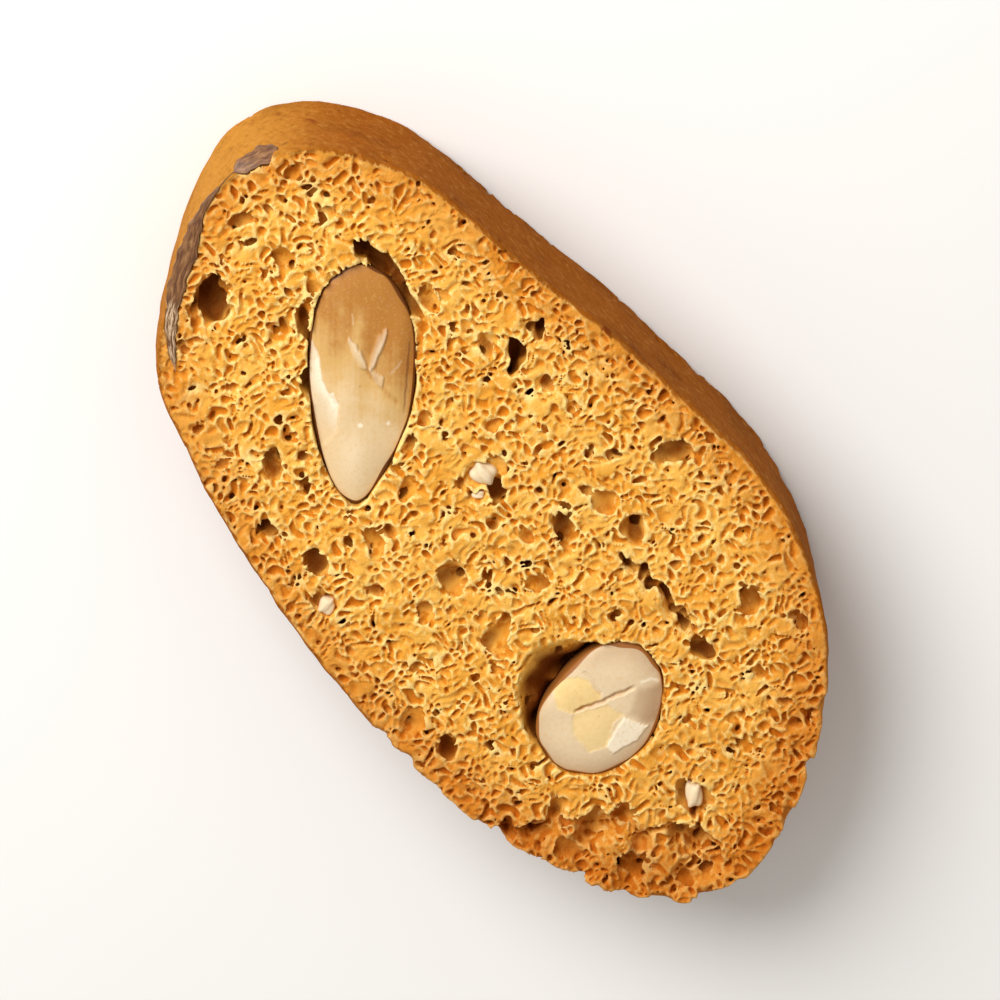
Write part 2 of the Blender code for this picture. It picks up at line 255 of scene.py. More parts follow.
def biscuitMaterial():
    c = {k: linearColour(v) for k, v in biscuitColours.items()}
    finish, shader = newMaterial("twice_baked_crumb")
    place = addNode(finish, "TexCoord", {}, {}, "Object")
    values = {
        name: addNode(finish, "Attribute", {"attribute_name": name}, {}, "Fac")
        for name in ("toast", "hollow", "depth", "pitShade", "crust", "along", "browned", "torn")
    }
    # Places on the unrolled wall, so that the crust's streaks run down it
    height = addNode(finish, "SeparateXYZ", {}, {0: place}, 2)
    wallPlace = addNode(finish, "CombineXYZ", {}, {0: values["along"], 1: height})
    wallPlace = addNode(finish, "Mapping", {"vector_type": "TEXTURE"}, {
        "Vector": wallPlace,
        "Rotation": (0, 0, math.radians(biscuitPatterns["streakLean"])),
        "Scale": (1, biscuitPatterns["streakLength"], 1),
    })
    for name in ("patches", "specks", "grain", "clouds", "spots", "streaks"):
        size, detail, roughness = biscuitPatterns[name]
        values[name] = addNode(finish, "TexNoise", {}, {
            "Vector": wallPlace if name == "streaks" else place,
            "Scale": 1 / (size * mm), "Detail": detail, "Roughness": roughness,
        })
    crumbColour = layColours(finish, c["pale"], (
        (values["patches"], 0.35, 0.65, 1.0, c["golden"], "MIX"),
        (values["specks"], 0.54, 0.75, 0.45, c["hollow"], "MIX"),
        # painted glow and shade in the cut cells, by how deep each place is sunk in them
        (values["pitShade"], 0.06, 0.55, 0.9, c["hollow"], "MIX"),
        # painted glow and shade in the hollows, where much crumb crowds round
        (values["hollow"], 0.50, 0.80, 0.7, c["hollow"], "MIX"),
        # painted highlight on the ridges, where little crumb crowds round
        (values["hollow"], 0.48, 0.28, 0.85, c["ridgeHighlight"], "MIX"),
        (values["toast"], 0.0, 1.0, 1.0, c["toasted"], "MULTIPLY"),
        # painted shade under the torn lip, strongest just past it and thinner over the torn crumb
        (values["torn"], 0.0, 1.0, 0.42, c["toasted"], "MULTIPLY"),
        # painted shade, going to near black far down in bubbles and pockets
        (values["depth"], 0.6, 2.5, 0.88, c["deep"], "MIX"),
    ))
    crustColour = layColours(finish, c["crustLight"], (
        (values["browned"], 0.0, 1.0, 1.0, c["crustBrown"], "MIX"),
        (values["clouds"], 0.45, 0.75, 0.5, c["crustDark"], "MIX"),
        (values["streaks"], 0.48, 0.78, 0.30, c["crustDark"], "MIX"),
        (values["streaks"], 0.50, 0.20, 0.24, c["crustPale"], "MIX"),
        (values["specks"], 0.52, 0.72, 0.45, c["crustDark"], "MIX"),
        (values["specks"], 0.47, 0.28, 0.45, c["crustPale"], "MIX"),
        (values["spots"], 0.70, 0.78, 0.7, c["crustSpot"], "MIX"),
    ))
    colour = layColours(finish, crumbColour, ((values["crust"], 0.0, 1.0, 1.0, crustColour, "MIX"),))
    crustGrain = biscuitPatterns["crustGrain"]
    grainShare = addNode(finish, "MapRange", {}, {0: values["crust"], 3: 1.0, 4: crustGrain})
    grain = addNode(finish, "Math", {"operation": "MULTIPLY"}, {0: values["grain"], 1: grainShare})
    streaks = addNode(finish, "Math", {"operation": "MULTIPLY"}, {0: values["streaks"], 1: values["crust"]})
    heights = biscuitPatterns["grainHeight"], biscuitPatterns["streakHeight"]
    setInputs(finish, shader, {
        "Base Color": colour, "Roughness": dry, "IOR": 1.45,
        "Specular IOR Level": 0.05,  # the dry broken walls scatter the rest
        "Normal": roughen(finish, zip((grain, streaks), heights)),
    })
    return finish


# Almond kernel, cut and toasted: dense, fine and slightly oily, so it has a soft gloss. It is tan where it
# was toasted, cream inside, greyish where the knife smeared it and toward the rim of the face cut across as
# painted shade, paler in places as a painted sheen, and has a brown line of skin round it.
kernelColours = {
    "cream": "#DFC091",
    "honey": "#D2A662",
    "tan": "#B0732B",
    "pale": "#F3E3C6",
    "peeled": "#DCC7A6",
    "grey": "#B48E68",
    "skin": "#6A3A14",
}
whiteKernelColours = {
    "cream": "#E9C888",
    "honey": "#D3A767",
    "tan": "#B57C3A",
    "pale": "#F6E6C9",
    "peeled": "#DCC4A2",
    "grey": "#B08C68",
    "skin": "#9A5E26",
}
kernelPatterns = {"clouds": (2.6, 5, 0.65), "cloudShare": 0.7, "fine": (0.4, 4, 0.65), "fineHeight": 0.03}


def kernelMaterial(name, colours):
    c = {k: linearColour(v) for k, v in colours.items()}
    finish, shader = newMaterial(name)
    place = addNode(finish, "TexCoord", {}, {}, "Object")
    values = {
        key: addNode(finish, "Attribute", {"attribute_name": key}, {}, "Fac")
        for key in ("tan", "peel", "grey", "pale", "skin")
    }
    for key in ("clouds", "fine"):
        size, detail, roughness = kernelPatterns[key]
        values[key] = addNode(finish, "TexNoise", {}, {
            "Vector": place, "Scale": 1 / (size * mm), "Detail": detail, "Roughness": roughness,
        })
    cloudy = {0: values["clouds"], 1: kernelPatterns["cloudShare"], 2: values["tan"]}
    tan = addNode(finish, "Math", {"operation": "MULTIPLY_ADD"}, cloudy)
    colour = layColours(finish, c["cream"], (
        (tan, 0.35, 0.85, 1.0, c["honey"], "MIX"),
        (tan, 0.8, 1.35, 1.0, c["tan"], "MIX"),
        (values["peel"], 0.0, 1.0, 1.0, c["peeled"], "MIX"),
        (values["grey"], 0.0, 1.0, 1.0, c["grey"], "MIX"),
        (values["pale"], 0.0, 1.0, 1.0, c["pale"], "MIX"),
        (values["fine"], 0.5, 0.7, 0.3, c["honey"], "MIX"),
        (values["fine"], 0.5, 0.25, 0.08, c["pale"], "MIX"),
        (values["skin"], 0.0, 1.0, 1.0, c["skin"], "MIX"),
    ))
    setInputs(finish, shader, {
        "Base Color": colour, "Roughness": 0.45, "IOR": 1.47, "Specular IOR Level": 0.35,
        "Normal": roughen(finish, ((values["fine"], kernelPatterns["fineHeight"]),)),
    })
    return finish


# Almond skin: a thin dry bran coat with fine lengthwise furrows, dull, with a faint painted sheen on its
# ridges
skinColours = {"brown": "#8C5E34", "dark": "#583216", "grey": "#A9845A", "shine": "#CDB08C"}
skinPatterns = {"furrows": (0.3, 4, 0.65), "furrowLength": 4, "furrowHeight": 0.04}


def skinMaterial():
    c = {k: linearColour(v) for k, v in skinColours.items()}
    finish, shader = newMaterial("almond_bran_skin")
    values = {
        key: addNode(finish, "Attribute", {"attribute_name": key}, {}, "Fac")
        for key in ("along", "across", "tail")
    }
    furrowPlace = addNode(finish, "CombineXYZ", {}, {0: values["along"], 1: values["across"]})
    furrowPlace = addNode(finish, "Mapping", {"vector_type": "TEXTURE"}, {
        "Vector": furrowPlace, "Scale": (skinPatterns["furrowLength"], 1, 1),
    })
    size, detail, roughness = skinPatterns["furrows"]
    furrows = addNode(finish, "TexNoise", {}, {
        "Vector": furrowPlace, "Scale": 1 / (size * mm), "Detail": detail, "Roughness": roughness,
    })
    # painted sheen: a pale colour on the furrows' ridges toward the tail
    shine = addNode(finish, "Math", {"operation": "MULTIPLY"}, {0: furrows, 1: values["tail"]})
    colour = layColours(finish, c["dark"], (
        (furrows, 0.35, 0.65, 1.0, c["brown"], "MIX"),
        (furrows, 0.55, 0.72, 0.6, c["grey"], "MIX"),
        (shine, 0.45, 0.6, 1.0, c["shine"], "MIX"),
    ))
    setInputs(finish, shader, {
        "Base Color": colour, "Roughness": 0.5,
        "Normal": roughen(finish, ((furrows, skinPatterns["furrowHeight"]),)),
    })
    return finish


# The outline of the slice, as points that a smooth closed curve runs through

outlineSizes = {
    "points": (
        (45.2, -6.6), (42.4, 3.2), (36.2, 12.2), (27.6, 19.2), (14.5, 23.3), (-3.0, 22.3), (-20.0, 19.7),
        (-33.0, 17.5), (-42.0, 11.4), (-45.2, 4.0), (-43.0, -3.4), (-38.6, -10.4), (-33.2, -16.2),
        (-24.0, -19.2), (-9.8, -22.1), (8.0, -23.5), (24.0, -22.0), (34.0, -18.6), (42.0, -13.0),
    ),
    "steps": 12,
}
outlineCurve = closedCurve(outlineSizes["points"], outlineSizes["steps"])
outlineLength = np.hypot(*(np.roll(outlineCurve, -1, axis=0) - outlineCurve).T).sum()


def insideCurve(x, y, points):
    inside = np.zeros(np.broadcast(x, y).shape, bool)
    for a, b in zip(points, np.roll(points, -1, axis=0)):
        crosses = (a[1] > y) != (b[1] > y)
        if a[1] != b[1]:
            inside ^= crosses & (x < (b[0] - a[0]) * (y - a[1]) / (b[1] - a[1]) + a[0])
    return inside


def outlineDistance(x, y):
    # Negative inside the slice
    far, along = distanceToLine(x, y, outlineCurve, closed=True)
    return np.where(insideCurve(x, y, outlineCurve), -far, far), along


# The sliver of almond with its skin on, which comes out of the crust at the left end and runs along the rim

rimAlmond = {
    "points": (  # place on the surface, then the way that the surface faces there
        (-43.5, 9.4, 12.6, -0.75, 0.35, 0.6), (-43.95, 8.1, 13.3, -0.72, 0.28, 0.65),
        (-44.65, 5.9, 14.2, -0.62, 0.10, 0.75), (-45.0, 3.7, 14.7, -0.45, 0.0, 0.9),
        (-44.75, 1.6, 14.92, -0.15, 0.0, 1.0), (-44.2, -0.6, 14.95, 0.0, 0.0, 1.0),
        (-43.2, -2.6, 14.95, 0.0, 0.0, 1.0), (-41.6, -5.0, 14.95, 0.0, 0.0, 1.0),
        (-39.75, -7.95, 14.95, 0.0, 0.0, 1.0), (-37.7, -10.4, 14.95, 0.0, 0.0, 1.0),
        (-35.4, -12.4, 14.95, 0.0, 0.0, 1.0), (-32.9, -14.0, 14.9, 0.0, 0.0, 1.0),
    ),
    "halves": (  # share of its length, then half its width there
        (0.065, 0.0), (0.08, 0.7), (0.13, 1.05), (0.20, 0.95), (0.25, 0.5), (0.265, 0.04), (0.35, 0.04),
        (0.37, 0.2), (0.50, 0.4), (0.60, 0.85), (0.70, 0.9), (0.80, 0.65), (0.92, 0.4), (1.0, 0.0),
    ),
    "raggedness": ((0.12, 61, 0), (0.08, 137, 2)),  # share, waves and start of each ripple along its edges
    "depth": 1.3,
    "rise": 0.1,
    "steps": 10,
    "fullFrom": 0.6,  # half the width from which it has its whole depth
    "cuts": 220,
    "sides": 40,
    "tailFrom": (0.66, 0.8),  # where along it a painted sheen starts on the skin's ridges
    "skinSpan": 0.8,  # millimetres of skin for each radian round it
}


def sliverPath():
    knots = [np.array(p, float) for p in rimAlmond["points"]]
    knots = [2 * knots[0] - knots[1]] + knots + [2 * knots[-1] - knots[-2]]
    return np.array(curveThrough(knots, rimAlmond["steps"]) + [knots[-2]])


def sliverHalf(along):
    ragged = 1 + sum(share * np.sin(along * waves + start) for share, waves, start in rimAlmond["raggedness"])
    return np.maximum(0.02, np.interp(along, *zip(*rimAlmond["halves"])) * ragged).astype(np.float32)


# Almonds that the knife opened. Lengths run from blunt end to tip, and depth is how far each reaches into the
# crumb. The edge of each is sunk below the face, and its middle stands up from there by the crown.

almondSizes = {
    "almond_lengthwise": {
        "at": (-20.05, -0.95), "length": 25.0, "width": 10.4, "turn": -42, "depth": 4.6,
        "face": "top", "crown": 1.2, "sink": 1.15, "cut": "lengthwise",
    },
    "almond_crosswise": {
        "at": (22.05, -5.2), "length": 16.1, "width": 12.1, "turn": 99, "depth": 10.5,
        "face": "top", "crown": 1.05, "sink": 0.95, "cut": "crosswise",
    },
    "almond_under_lengthwise": {
        "at": (1.5, 7.5), "length": 22.6, "width": 11.0, "turn": 163, "depth": 4.4,
        "face": "base", "crown": 0.6, "sink": 0.75, "cut": "lengthwise",
    },
    "almond_under_crosswise": {
        "at": (-25.0, -6.8), "length": 12.4, "width": 9.2, "turn": 60, "depth": 6.5,
        "face": "base", "crown": 0.5, "sink": 0.6, "cut": "crosswise",
    },
}
# Outlines in halves of the length and width, from blunt end to tip along the first
almondOutlines = {
    "lengthwise": (
        (-0.995, -0.14), (-0.872, -0.60), (-0.694, -0.84), (-0.46, -0.97), (-0.112, -0.99), (0.274, -0.89),
        (0.543, -0.74), (0.773, -0.54), (0.92, -0.34), (1.015, -0.06), (0.975, 0.157), (0.837, 0.40),
        (0.64, 0.64), (0.442, 0.84), (0.247, 0.975), (-0.045, 1.05), (-0.374, 1.03), (-0.623, 0.88),
        (-0.832, 0.60), (-0.95, 0.27),
    ),
    "crosswise": (
        (-0.82, 0.30), (-0.70, 0.58), (-0.44, 0.80), (-0.12, 0.87), (0.20, 0.89), (0.561, 0.84),
        (0.83, 0.65), (1.0, 0.31), (0.951, -0.18), (0.746, -0.54), (0.455, -0.80), (0.11, -0.93),
        (-0.25, -0.90), (-0.60, -0.71), (-0.82, -0.33), (-0.87, 0.02),
    ),
}
for kind, outline in almondOutlines.items():  # turned into how far each reaches, all the way round
    fine = closedCurve(outline, 8)
    around = np.arctan2(fine[:, 1], fine[:, 0])
    order = np.argsort(around)
    almondOutlines[kind] = around[order], np.hypot(*fine.T)[order]


def almondRadius(almond, u, v):
    around, radius = almondOutlines[almond["cut"]]
    return np.interp(np.arctan2(v, u), around, radius, period=2 * math.pi)


def almondReach(almond, x, y):
    # 0 at the almond's middle and 1 on its outline
    u, v = turned(x - almond["at"][0], y - almond["at"][1], almond["turn"])
    u, v = u / (almond["length"] / 2), v / (almond["width"] / 2)
    return np.hypot(u, v) / almondRadius(almond, u, v)


# The crumb: a block of small cells, carved by bubbles. It is made as a volume and then turned into a mesh,
# because thousands of bubbles that run into one another are more than mesh operators and booleans can cut.

crumb = {
    "cell": 0.2,
    "seed": 23,
    "low": (-46.4, -24.8, -0.8),
    "high": (46.4, 24.6, 15.8),
    "rimRound": 0.25,
    "faceSink": 0.06,
    "cellPitch": 0.9,  # the finest cells, cut open by the knife
    "cellDepth": 0.78,
    "cellWall": 0.16,
    "cellBend": (0.42, 1.0),
    # Unevenness, as the height and pitch of each wave
    "bubbleWaves": ((0.18, 1.6), (0.15, 0.75)),
    "wallWaves": ((0.08, 7.0), (0.055, 1.3)),
    "faceWaves": ((0.07, 5.0),),
    "skinWaves": ((0.04, 0.55), (0.06, 1.2)),
    "lipWaves": ((0.65, 1.5), (0.25, 0.8)),
    "cragWaves": ((0.5, 1.8), (0.4, 0.9)),
    "cragLevel": 0.75,
    "gapWave": (0.1, 1.6),
    "wallLean": 0.8,  # how far the wall is set in at the bottom
    "leanTurn": 45,  # the way, in degrees, that the side with this lean faces
    "crustDepth": 0.55,
    "crustFade": 0.35,
    "crumbly": (14.0, 36.0),  # from here to there along the slice, the rim breaks away more and more
    "crumblyDepth": 0.42,
    "almondGap": 0.06,
    "clearSize": 0.95,  # scattered bubbles above this size keep clear of the crust
    "clearUntil": 20.0,  # as far along the slice as this
    "tornLip": (  # the edge of the torn end
        (20.5, -24.5), (24.6, -19.6), (26.3, -16.8), (28.1, -15.5), (30.1, -12.8), (31.1, -11.0),
        (31.6, -8.6), (34.2, -9.7), (36.0, -8.7), (37.4, -5.4), (40.5, -5.0), (47.0, -5.4),
    ),
    "tornCorners": ((47.0, -26.0),),
    "tornDepth": 1.7,
    "tornFade": 2.4,
    "tornEnds": (45.0, 38.0),
    "ribPitch": 2.3,
    "ribRadius": 1.0,
    "ribDepth": 0.42,
    "ribReach": (-27.0, 29.0),
    "ribEnds": 1.5,
    "ribFade": 13.2,  # the height at which they have run out
    "cuts": (-22.4, -5.7, 8.5, 23.8),  # the slice is too fine for one mesh, and is cut across here
    "names": ("crumb_left_end", "crumb_left", "crumb_middle", "crumb_right", "crumb_right_end"),
    "toastRim": (-8.0, -0.8, 0.5),  # from, to, and how much
    "toastEnd": (2.0, 44.0, 0.28),
    "brownedEnd": (-49.0, -33.0),
    "pocketShade": 1.1,
}

# Bubbles that show one by one: place, length, width, turn, depth
openBubbles = (
    (-36.3, -6.4, 3.9, 1.9, -40, 4.2), (-37.1, -5.0, 2.2, 1.5, 10, 1.9), (-36.9, -7.9, 2.2, 1.3, -75, 2.4),
    (-40.9, 1.0, 2.0, 1.2, 50, 1.5), (-22.3, 10.2, 2.0, 1.8, 0, 1.3),
    (-29.6, -2.7, 2.0, 1.2, -40, 0.9), (-15.3, 11.6, 2.0, 1.4, -40, 1.3), (-12.5, 12.6, 3.3, 1.6, -40, 4.0),
    (-12.9, 16.7, 2.4, 1.1, -45, 3.0), (-8.4, 13.4, 1.6, 1.4, 20, 1.8), (-19.3, -13.1, 2.8, 2.0, -40, 2.4),
    (-8.6, -4.6, 1.9, 1.5, -40, 1.2), (5.4, 18.6, 2.9, 1.9, 50, 1.5), (-2.5, 2.2, 1.6, 1.4, 10, 2.6),
    (-14.1, -17.9, 1.6, 1.5, 0, 2.2), (-8.6, -16.6, 3.0, 1.9, -40, 2.3), (-6.6, -10.5, 3.6, 1.5, -40, 1.1),
    (1.3, -7.1, 3.5, 2.3, -40, 2.0), (-2.6, -13.9, 1.5, 1.1, 30, 1.5), (4.6, 5.0, 4.2, 2.1, -35, 1.9),
    (5.0, 9.6, 2.6, 2.2, 30, 1.6), (9.1, 9.8, 2.6, 1.6, -35, 2.1), (23.4, 7.3, 2.3, 1.7, 10, 2.6),
    (22.4, 13.8, 3.1, 2.1, -40, 1.5), (2.6, -11.4, 2.0, 1.4, -40, 1.3), (7.4, -1.0, 1.7, 1.0, 50, 1.5),
    (9.3, -7.9, 3.4, 2.4, -60, 1.5), (27.2, -15.0, 2.3, 1.6, -40, 1.6), (32.0, -10.6, 3.2, 1.7, 60, 1.9),
    (31.2, -17.0, 2.8, 1.9, 20, 1.7), (37.0, -12.6, 3.2, 2.0, 40, 1.9), (35.6, 9.2, 1.7, 1.2, -60, 1.2),
)
widePockets = (  # open gaps beside the almonds and the nut chips
    (-30.6, 8.6, 2.7, 1.8, 10, 4.4), (-28.2, 8.7, 3.2, 2.1, 0, 4.0), (-24.9, 8.7, 6.4, 1.4, -14, 2.6),
    (-28.3, -0.9, 5.0, 1.2, -30, 2.0),
    (11.5, 7.3, 1.6, 0.9, 10, 2.4), (13.3, 8.2, 1.7, 1.0, -30, 2.6), (15.0, 8.1, 1.1, 1.0, 60, 2.4),
    (16.8, 8.2, 2.0, 0.9, -15, 2.6), (18.6, 8.0, 1.3, 0.9, 30, 2.2), (20.0, 7.6, 1.8, 0.8, -15, 2.4),
    (-23.5, -5.0, 3.0, 1.3, -40, 2.6), (-30.2, 1.1, 4.6, 1.4, -53, 1.1), (-13.4, 1.9, 2.1, 1.4, -60, 1.1),
    (-12.4, -0.7, 1.8, 1.3, -40, 1.2),
    (-20.4, 7.1, 5.0, 0.8, -42, 0.8), (35.0, -3.4, 3.4, 3.0, 20, 1.5), (-3.3, 2.3, 2.0, 1.3, -60, 2.4),
    (-4.9, 4.0, 2.2, 1.1, 30, 0.9), (-5.7, 0.4, 1.2, 0.8, 20, 1.6), (-4.6, -18.7, 2.6, 2.2, 0, 0.9),
)
# The wide pocket beside the almond that was cut across. Its way and spread are in degrees.
crescent = {
    "way": 186, "width": 4.8, "spread": (46, 34), "depth": 3.9, "slope": 1.15,
    "edgeWaves": ((0.18, 1.5),), "floorWaves": ((0.22, 1.0),),
}
tear = {
    "edge": (
        (10.6, 7.2), (11.0, 7.7), (11.8, 7.85), (12.8, 8.9), (14.0, 8.25), (14.8, 7.95), (15.15, 8.95),
        (16.3, 8.75), (17.35, 8.4), (18.25, 8.15), (18.7, 8.7), (19.6, 8.15), (20.5, 7.9), (21.3, 8.3),
        (22.4, 7.4),
    ),
    "lowSide": ((22.4, 3.0), (10.6, 3.0)),
    "edgeWaves": ((0.12, 0.9),),
    "depth": 2.2,
    "reach": 0.9,
}
# Bubbles too many to place one by one: pitch, least and largest size, share that is there, how deep they go
scatteredBubbles = {
    "fine": (1.12, 0.5, 0.95, 0.5, 1.0),
    "small": (2.3, 0.9, 1.6, 0.6, 1.5),
    "medium": (5.2, 1.5, 2.4, 0.5, 2.0),
}
# Chips of nut in the crumb: place, length, width, turn, and how far each lies below the face
nutChips = (
    (34.9, -3.5, 2.9, 1.7, 140, 0.3), (-4.33, -18.65, 1.9, 1.6, 120, 0.1), (-5.0, 2.4, 2.6, 2.2, 20, -0.1),
    (-3.6, 0.5, 1.2, 0.8, 60, 0.3),
)


class CrumbBlock:
    def __init__(self):
        self.draw = np.random.default_rng(crumb["seed"])
        self.step = crumb["cell"]
        self.low = np.array(crumb["low"])
        self.counts = np.ceil((np.array(crumb["high"]) - self.low) / self.step).astype(int)
        axes = [self.low[k] + np.arange(self.counts[k], dtype=np.float32) * self.step for k in range(3)]
        self.x, self.y, self.z = axes[0][:, None, None], axes[1][None, :, None], axes[2][None, None, :]
        plan, along = outlineDistance(self.x[:, :, 0], self.y[:, :, 0])
        self.plan, self.along = plan.astype(np.float32)[:, :, None], along[:, :, None]
        # The crumb's own unevenness bends every bubble
        self.bent = [
            self.addWaves(axis, crumb["bubbleWaves"], self.noise).astype(np.float32)
            for axis in (self.x, self.y, self.z)
        ]

    def noise(self, pitch):
        return smoothNoise(self.draw, self.counts, self.step, pitch)

    def planNoise(self, pitch):
        return smoothNoise(self.draw, self.counts[:2], self.step, pitch)[:, :, None]

    def addWaves(self, values, waves, noise):
        for height, pitch in waves:
            values = values + height * noise(pitch)
        return values

    def tornShare(self):
        # 0 on the whole face, 1 just past the torn edge, and less toward the rim
        x, y = (axis[:, :, 0] + self.addWaves(0, crumb["lipWaves"], self.planNoise)[:, :, 0]
                for axis in (self.x, self.y))
        far, _ = distanceToLine(x, y, crumb["tornLip"])
        inside = insideCurve(x, y, np.array(crumb["tornLip"] + crumb["tornCorners"]))
        share = smoothStep(0.0, 0.25, far) * (0.3 + 0.7 * np.exp(-((far / crumb["tornFade"]) ** 2)))
        fading = smoothStep(*crumb["tornEnds"], x)
        return (share * inside * fading).astype(np.float32)[:, :, None]

    def cellPits(self):
        # How far each place of the face is sunk into the finest cells, whose walls stand up between them
        pitch = crumb["cellPitch"]
        bend, bendPitch = crumb["cellBend"]
        x, y = ((axis[:, :, 0] - low + 3 * pitch + bend * self.planNoise(bendPitch)[:, :, 0]) / pitch
                for axis, low in zip((self.x, self.y), self.low))
        x, y = np.broadcast_arrays(x, y)
        size = int(max(x.max(), y.max())) + 4
        seeds = self.draw.random((size, size, 3))
        column, row = np.floor(x).astype(int), np.floor(y).astype(int)
        first, second, deep = np.full(x.shape, 9.0), np.full(x.shape, 9.0), np.zeros(x.shape)
        for i in (-1, 0, 1):
            for j in (-1, 0, 1):
                seed = seeds[column + i, row + j]
                far = np.hypot(column + i + seed[..., 0] - x, row + j + seed[..., 1] - y)
                closer = far < first
                second = np.where(closer, first, np.minimum(second, far))
                deep = np.where(closer, seed[..., 2], deep)
                first = np.where(closer, far, first)
        gap = (second - first) * pitch
        profile = smoothStep(crumb["cellWall"] * 0.3, crumb["cellWall"] + 0.4, gap)
        return (crumb["cellDepth"] * (0.3 + 0.7 * deep ** 1.4) * profile).astype(np.float32)[:, :, None]

    def makeSlab(self):
        way = np.stack(np.gradient(self.plan[:, :, 0], self.step), axis=-1)
        lean = math.radians(crumb["leanTurn"])
        facing = np.maximum(0, way[..., 0] * math.cos(lean) + way[..., 1] * math.sin(lean))[:, :, None]
        wall = self.plan + crumb["wallLean"] * (1 - self.z / thickness) * facing
        wall = self.addWaves(wall, crumb["wallWaves"], self.noise)
        # Toward the right end the crumb breaks away at the rim
        self.crumbly = smoothStep(*crumb["crumbly"], self.x - 0.6 * self.y)
        bites = np.maximum(0, crumb["crumblyDepth"] * self.noise(1.1) + 0.16)
        wall = wall + self.crumbly * smoothStep(9.0, 14.0, self.z) * bites
        self.wall = wall = wall + self.ribs(way)
        self.torn = self.tornShare()
        crags = self.addWaves(crumb["cragLevel"], crumb["cragWaves"], self.planNoise)
        sink = self.addWaves(crumb["faceSink"], crumb["faceWaves"], self.planNoise)
        sink = sink + self.torn * crumb["tornDepth"] * np.maximum(0.05, crags)
        inner = smoothStep(-0.3, -1.0, self.plan - 0.6 * self.crumbly)
        self.pits = [self.cellPits() * inner for _ in ("top", "base")]
        face = np.maximum(self.z - thickness + sink + self.pits[0], 0.02 + self.pits[1] - self.z)
        # The distance from a slab with a rounded rim: negative inside
        r = crumb["rimRound"]
        a, b = wall + r, face + r
        corner = np.hypot(np.maximum(a, 0), np.maximum(b, 0))
        self.solid = (np.minimum(np.maximum(a, b), 0) + corner - r).astype(np.float32)

    def ribs(self, way):
        # Grooves that the baking sheet pressed into the loaf's flat base, deepest at the bottom
        facing = smoothStep(0.75, 0.95, -way[..., 1])[:, :, None]
        low, high = crumb["ribReach"]
        ends = crumb["ribEnds"]
        share = between(self.x, low - ends, low + ends, high - ends, high + ends)
        pitch, radius, depth = crumb["ribPitch"], crumb["ribRadius"], crumb["ribDepth"]
        phase = np.mod(self.x - low + pitch / 2, pitch) - pitch / 2
        groove = np.sqrt(np.maximum(0, radius ** 2 - phase ** 2)) - radius + depth
        fade = np.maximum(0, 1 - self.z / crumb["ribFade"])
        return facing * share * np.maximum(0, groove - depth * (1 - fade))

    def window(self, centre, reach):
        first = np.maximum(0, ((centre - reach - self.low) / self.step).astype(int))
        last = np.minimum(self.counts, ((centre + reach - self.low) / self.step).astype(int) + 2)
        return tuple(slice(a, b) for a, b in zip(first, last))

    def carve(self, centre, radii, turn=0.0):
        centre, radii = np.array(centre, float), np.array(radii, float)
        reach = np.array([max(radii[0], radii[1])] * 2 + [radii[2]]) + 0.8
        part = self.window(centre, reach)
        dx, dy, dz = (bent[part] - c for bent, c in zip(self.bent, centre))
        dx, dy = turned(dx, dy, turn)
        far = np.sqrt((dx / radii[0]) ** 2 + (dy / radii[1]) ** 2 + (dz / radii[2]) ** 2)
        np.maximum(self.solid[part], (1 - far) * radii.min(), out=self.solid[part])

    def openBubble(self, x, y, length, width, turn, depth):
        over = 0.3 * depth
        half = (depth + over) / 2
        deep = half - over
        widen = 1 / math.sqrt(1 - (deep / half) ** 2)
        self.carve((x, y, thickness - deep), (length / 2 * widen, width / 2 * widen, half), turn)

    def scatter(self, pitch, low, high, share, zLow, zHigh):
        spots = [np.arange(a, b, pitch) for a, b in ((-45, 45), (-23.5, 23.5), (zLow, zHigh))]
        grid = np.stack(np.meshgrid(*spots, indexing="ij"), axis=-1).reshape(-1, 3)
        grid = grid + (self.draw.random(grid.shape) - 0.5) * pitch * 0.9
        sizes = low + (high - low) * self.draw.random(len(grid)) ** 1.6
        turns = self.draw.random(len(grid)) * 180
        longer = 1 + 0.5 * self.draw.random(len(grid))
        keep = self.draw.random(len(grid)) < share
        # All but the finest keep clear of the crust, apart from the crumbly end
        clear = (sizes > crumb["clearSize"]) & (grid[:, 0] < crumb["clearUntil"])
        room = np.where(clear, 0.8 * sizes, 0.5 * low)
        keep &= outlineDistance(grid[:, 0], grid[:, 1])[0] < -0.15 - room
        for almond in almondSizes.values():
            reach = almondReach(almond, grid[:, 0], grid[:, 1])
            down = thickness - grid[:, 2] if almond["face"] == "top" else grid[:, 2]
            keep &= ~((reach < 1.0) & (down < almond["depth"]))
        for spot, size, turn, long in zip(grid[keep], sizes[keep], turns[keep], longer[keep]):
            r = size / 2
            self.carve(spot, (r * long, r / long ** 0.3, r), turn)

    def carvePockets(self):
        gap = crumb["almondGap"]
        uneven, pitch = crumb["gapWave"]
        for almond in almondSizes.values():
            reach = almondReach(almond, self.x, self.y)
            radius = np.hypot(self.x - almond["at"][0], self.y - almond["at"][1])
            side = radius * (1 - 1 / np.maximum(reach, 0.05)) - gap - uneven * self.planNoise(pitch)
            down = thickness - almond["sink"] - self.z if almond["face"] == "top" else self.z - almond["sink"]
            deep = almond["depth"] - almond["sink"] + 0.5 + gap
            bowl = (np.hypot(reach, np.maximum(down, 0) / deep) - 1) * deep * 0.8 - gap
            hollow = np.where(down > 0, np.maximum(side, bowl), side)
            np.maximum(self.solid, -hollow, out=self.solid)

    def carveCrescent(self):
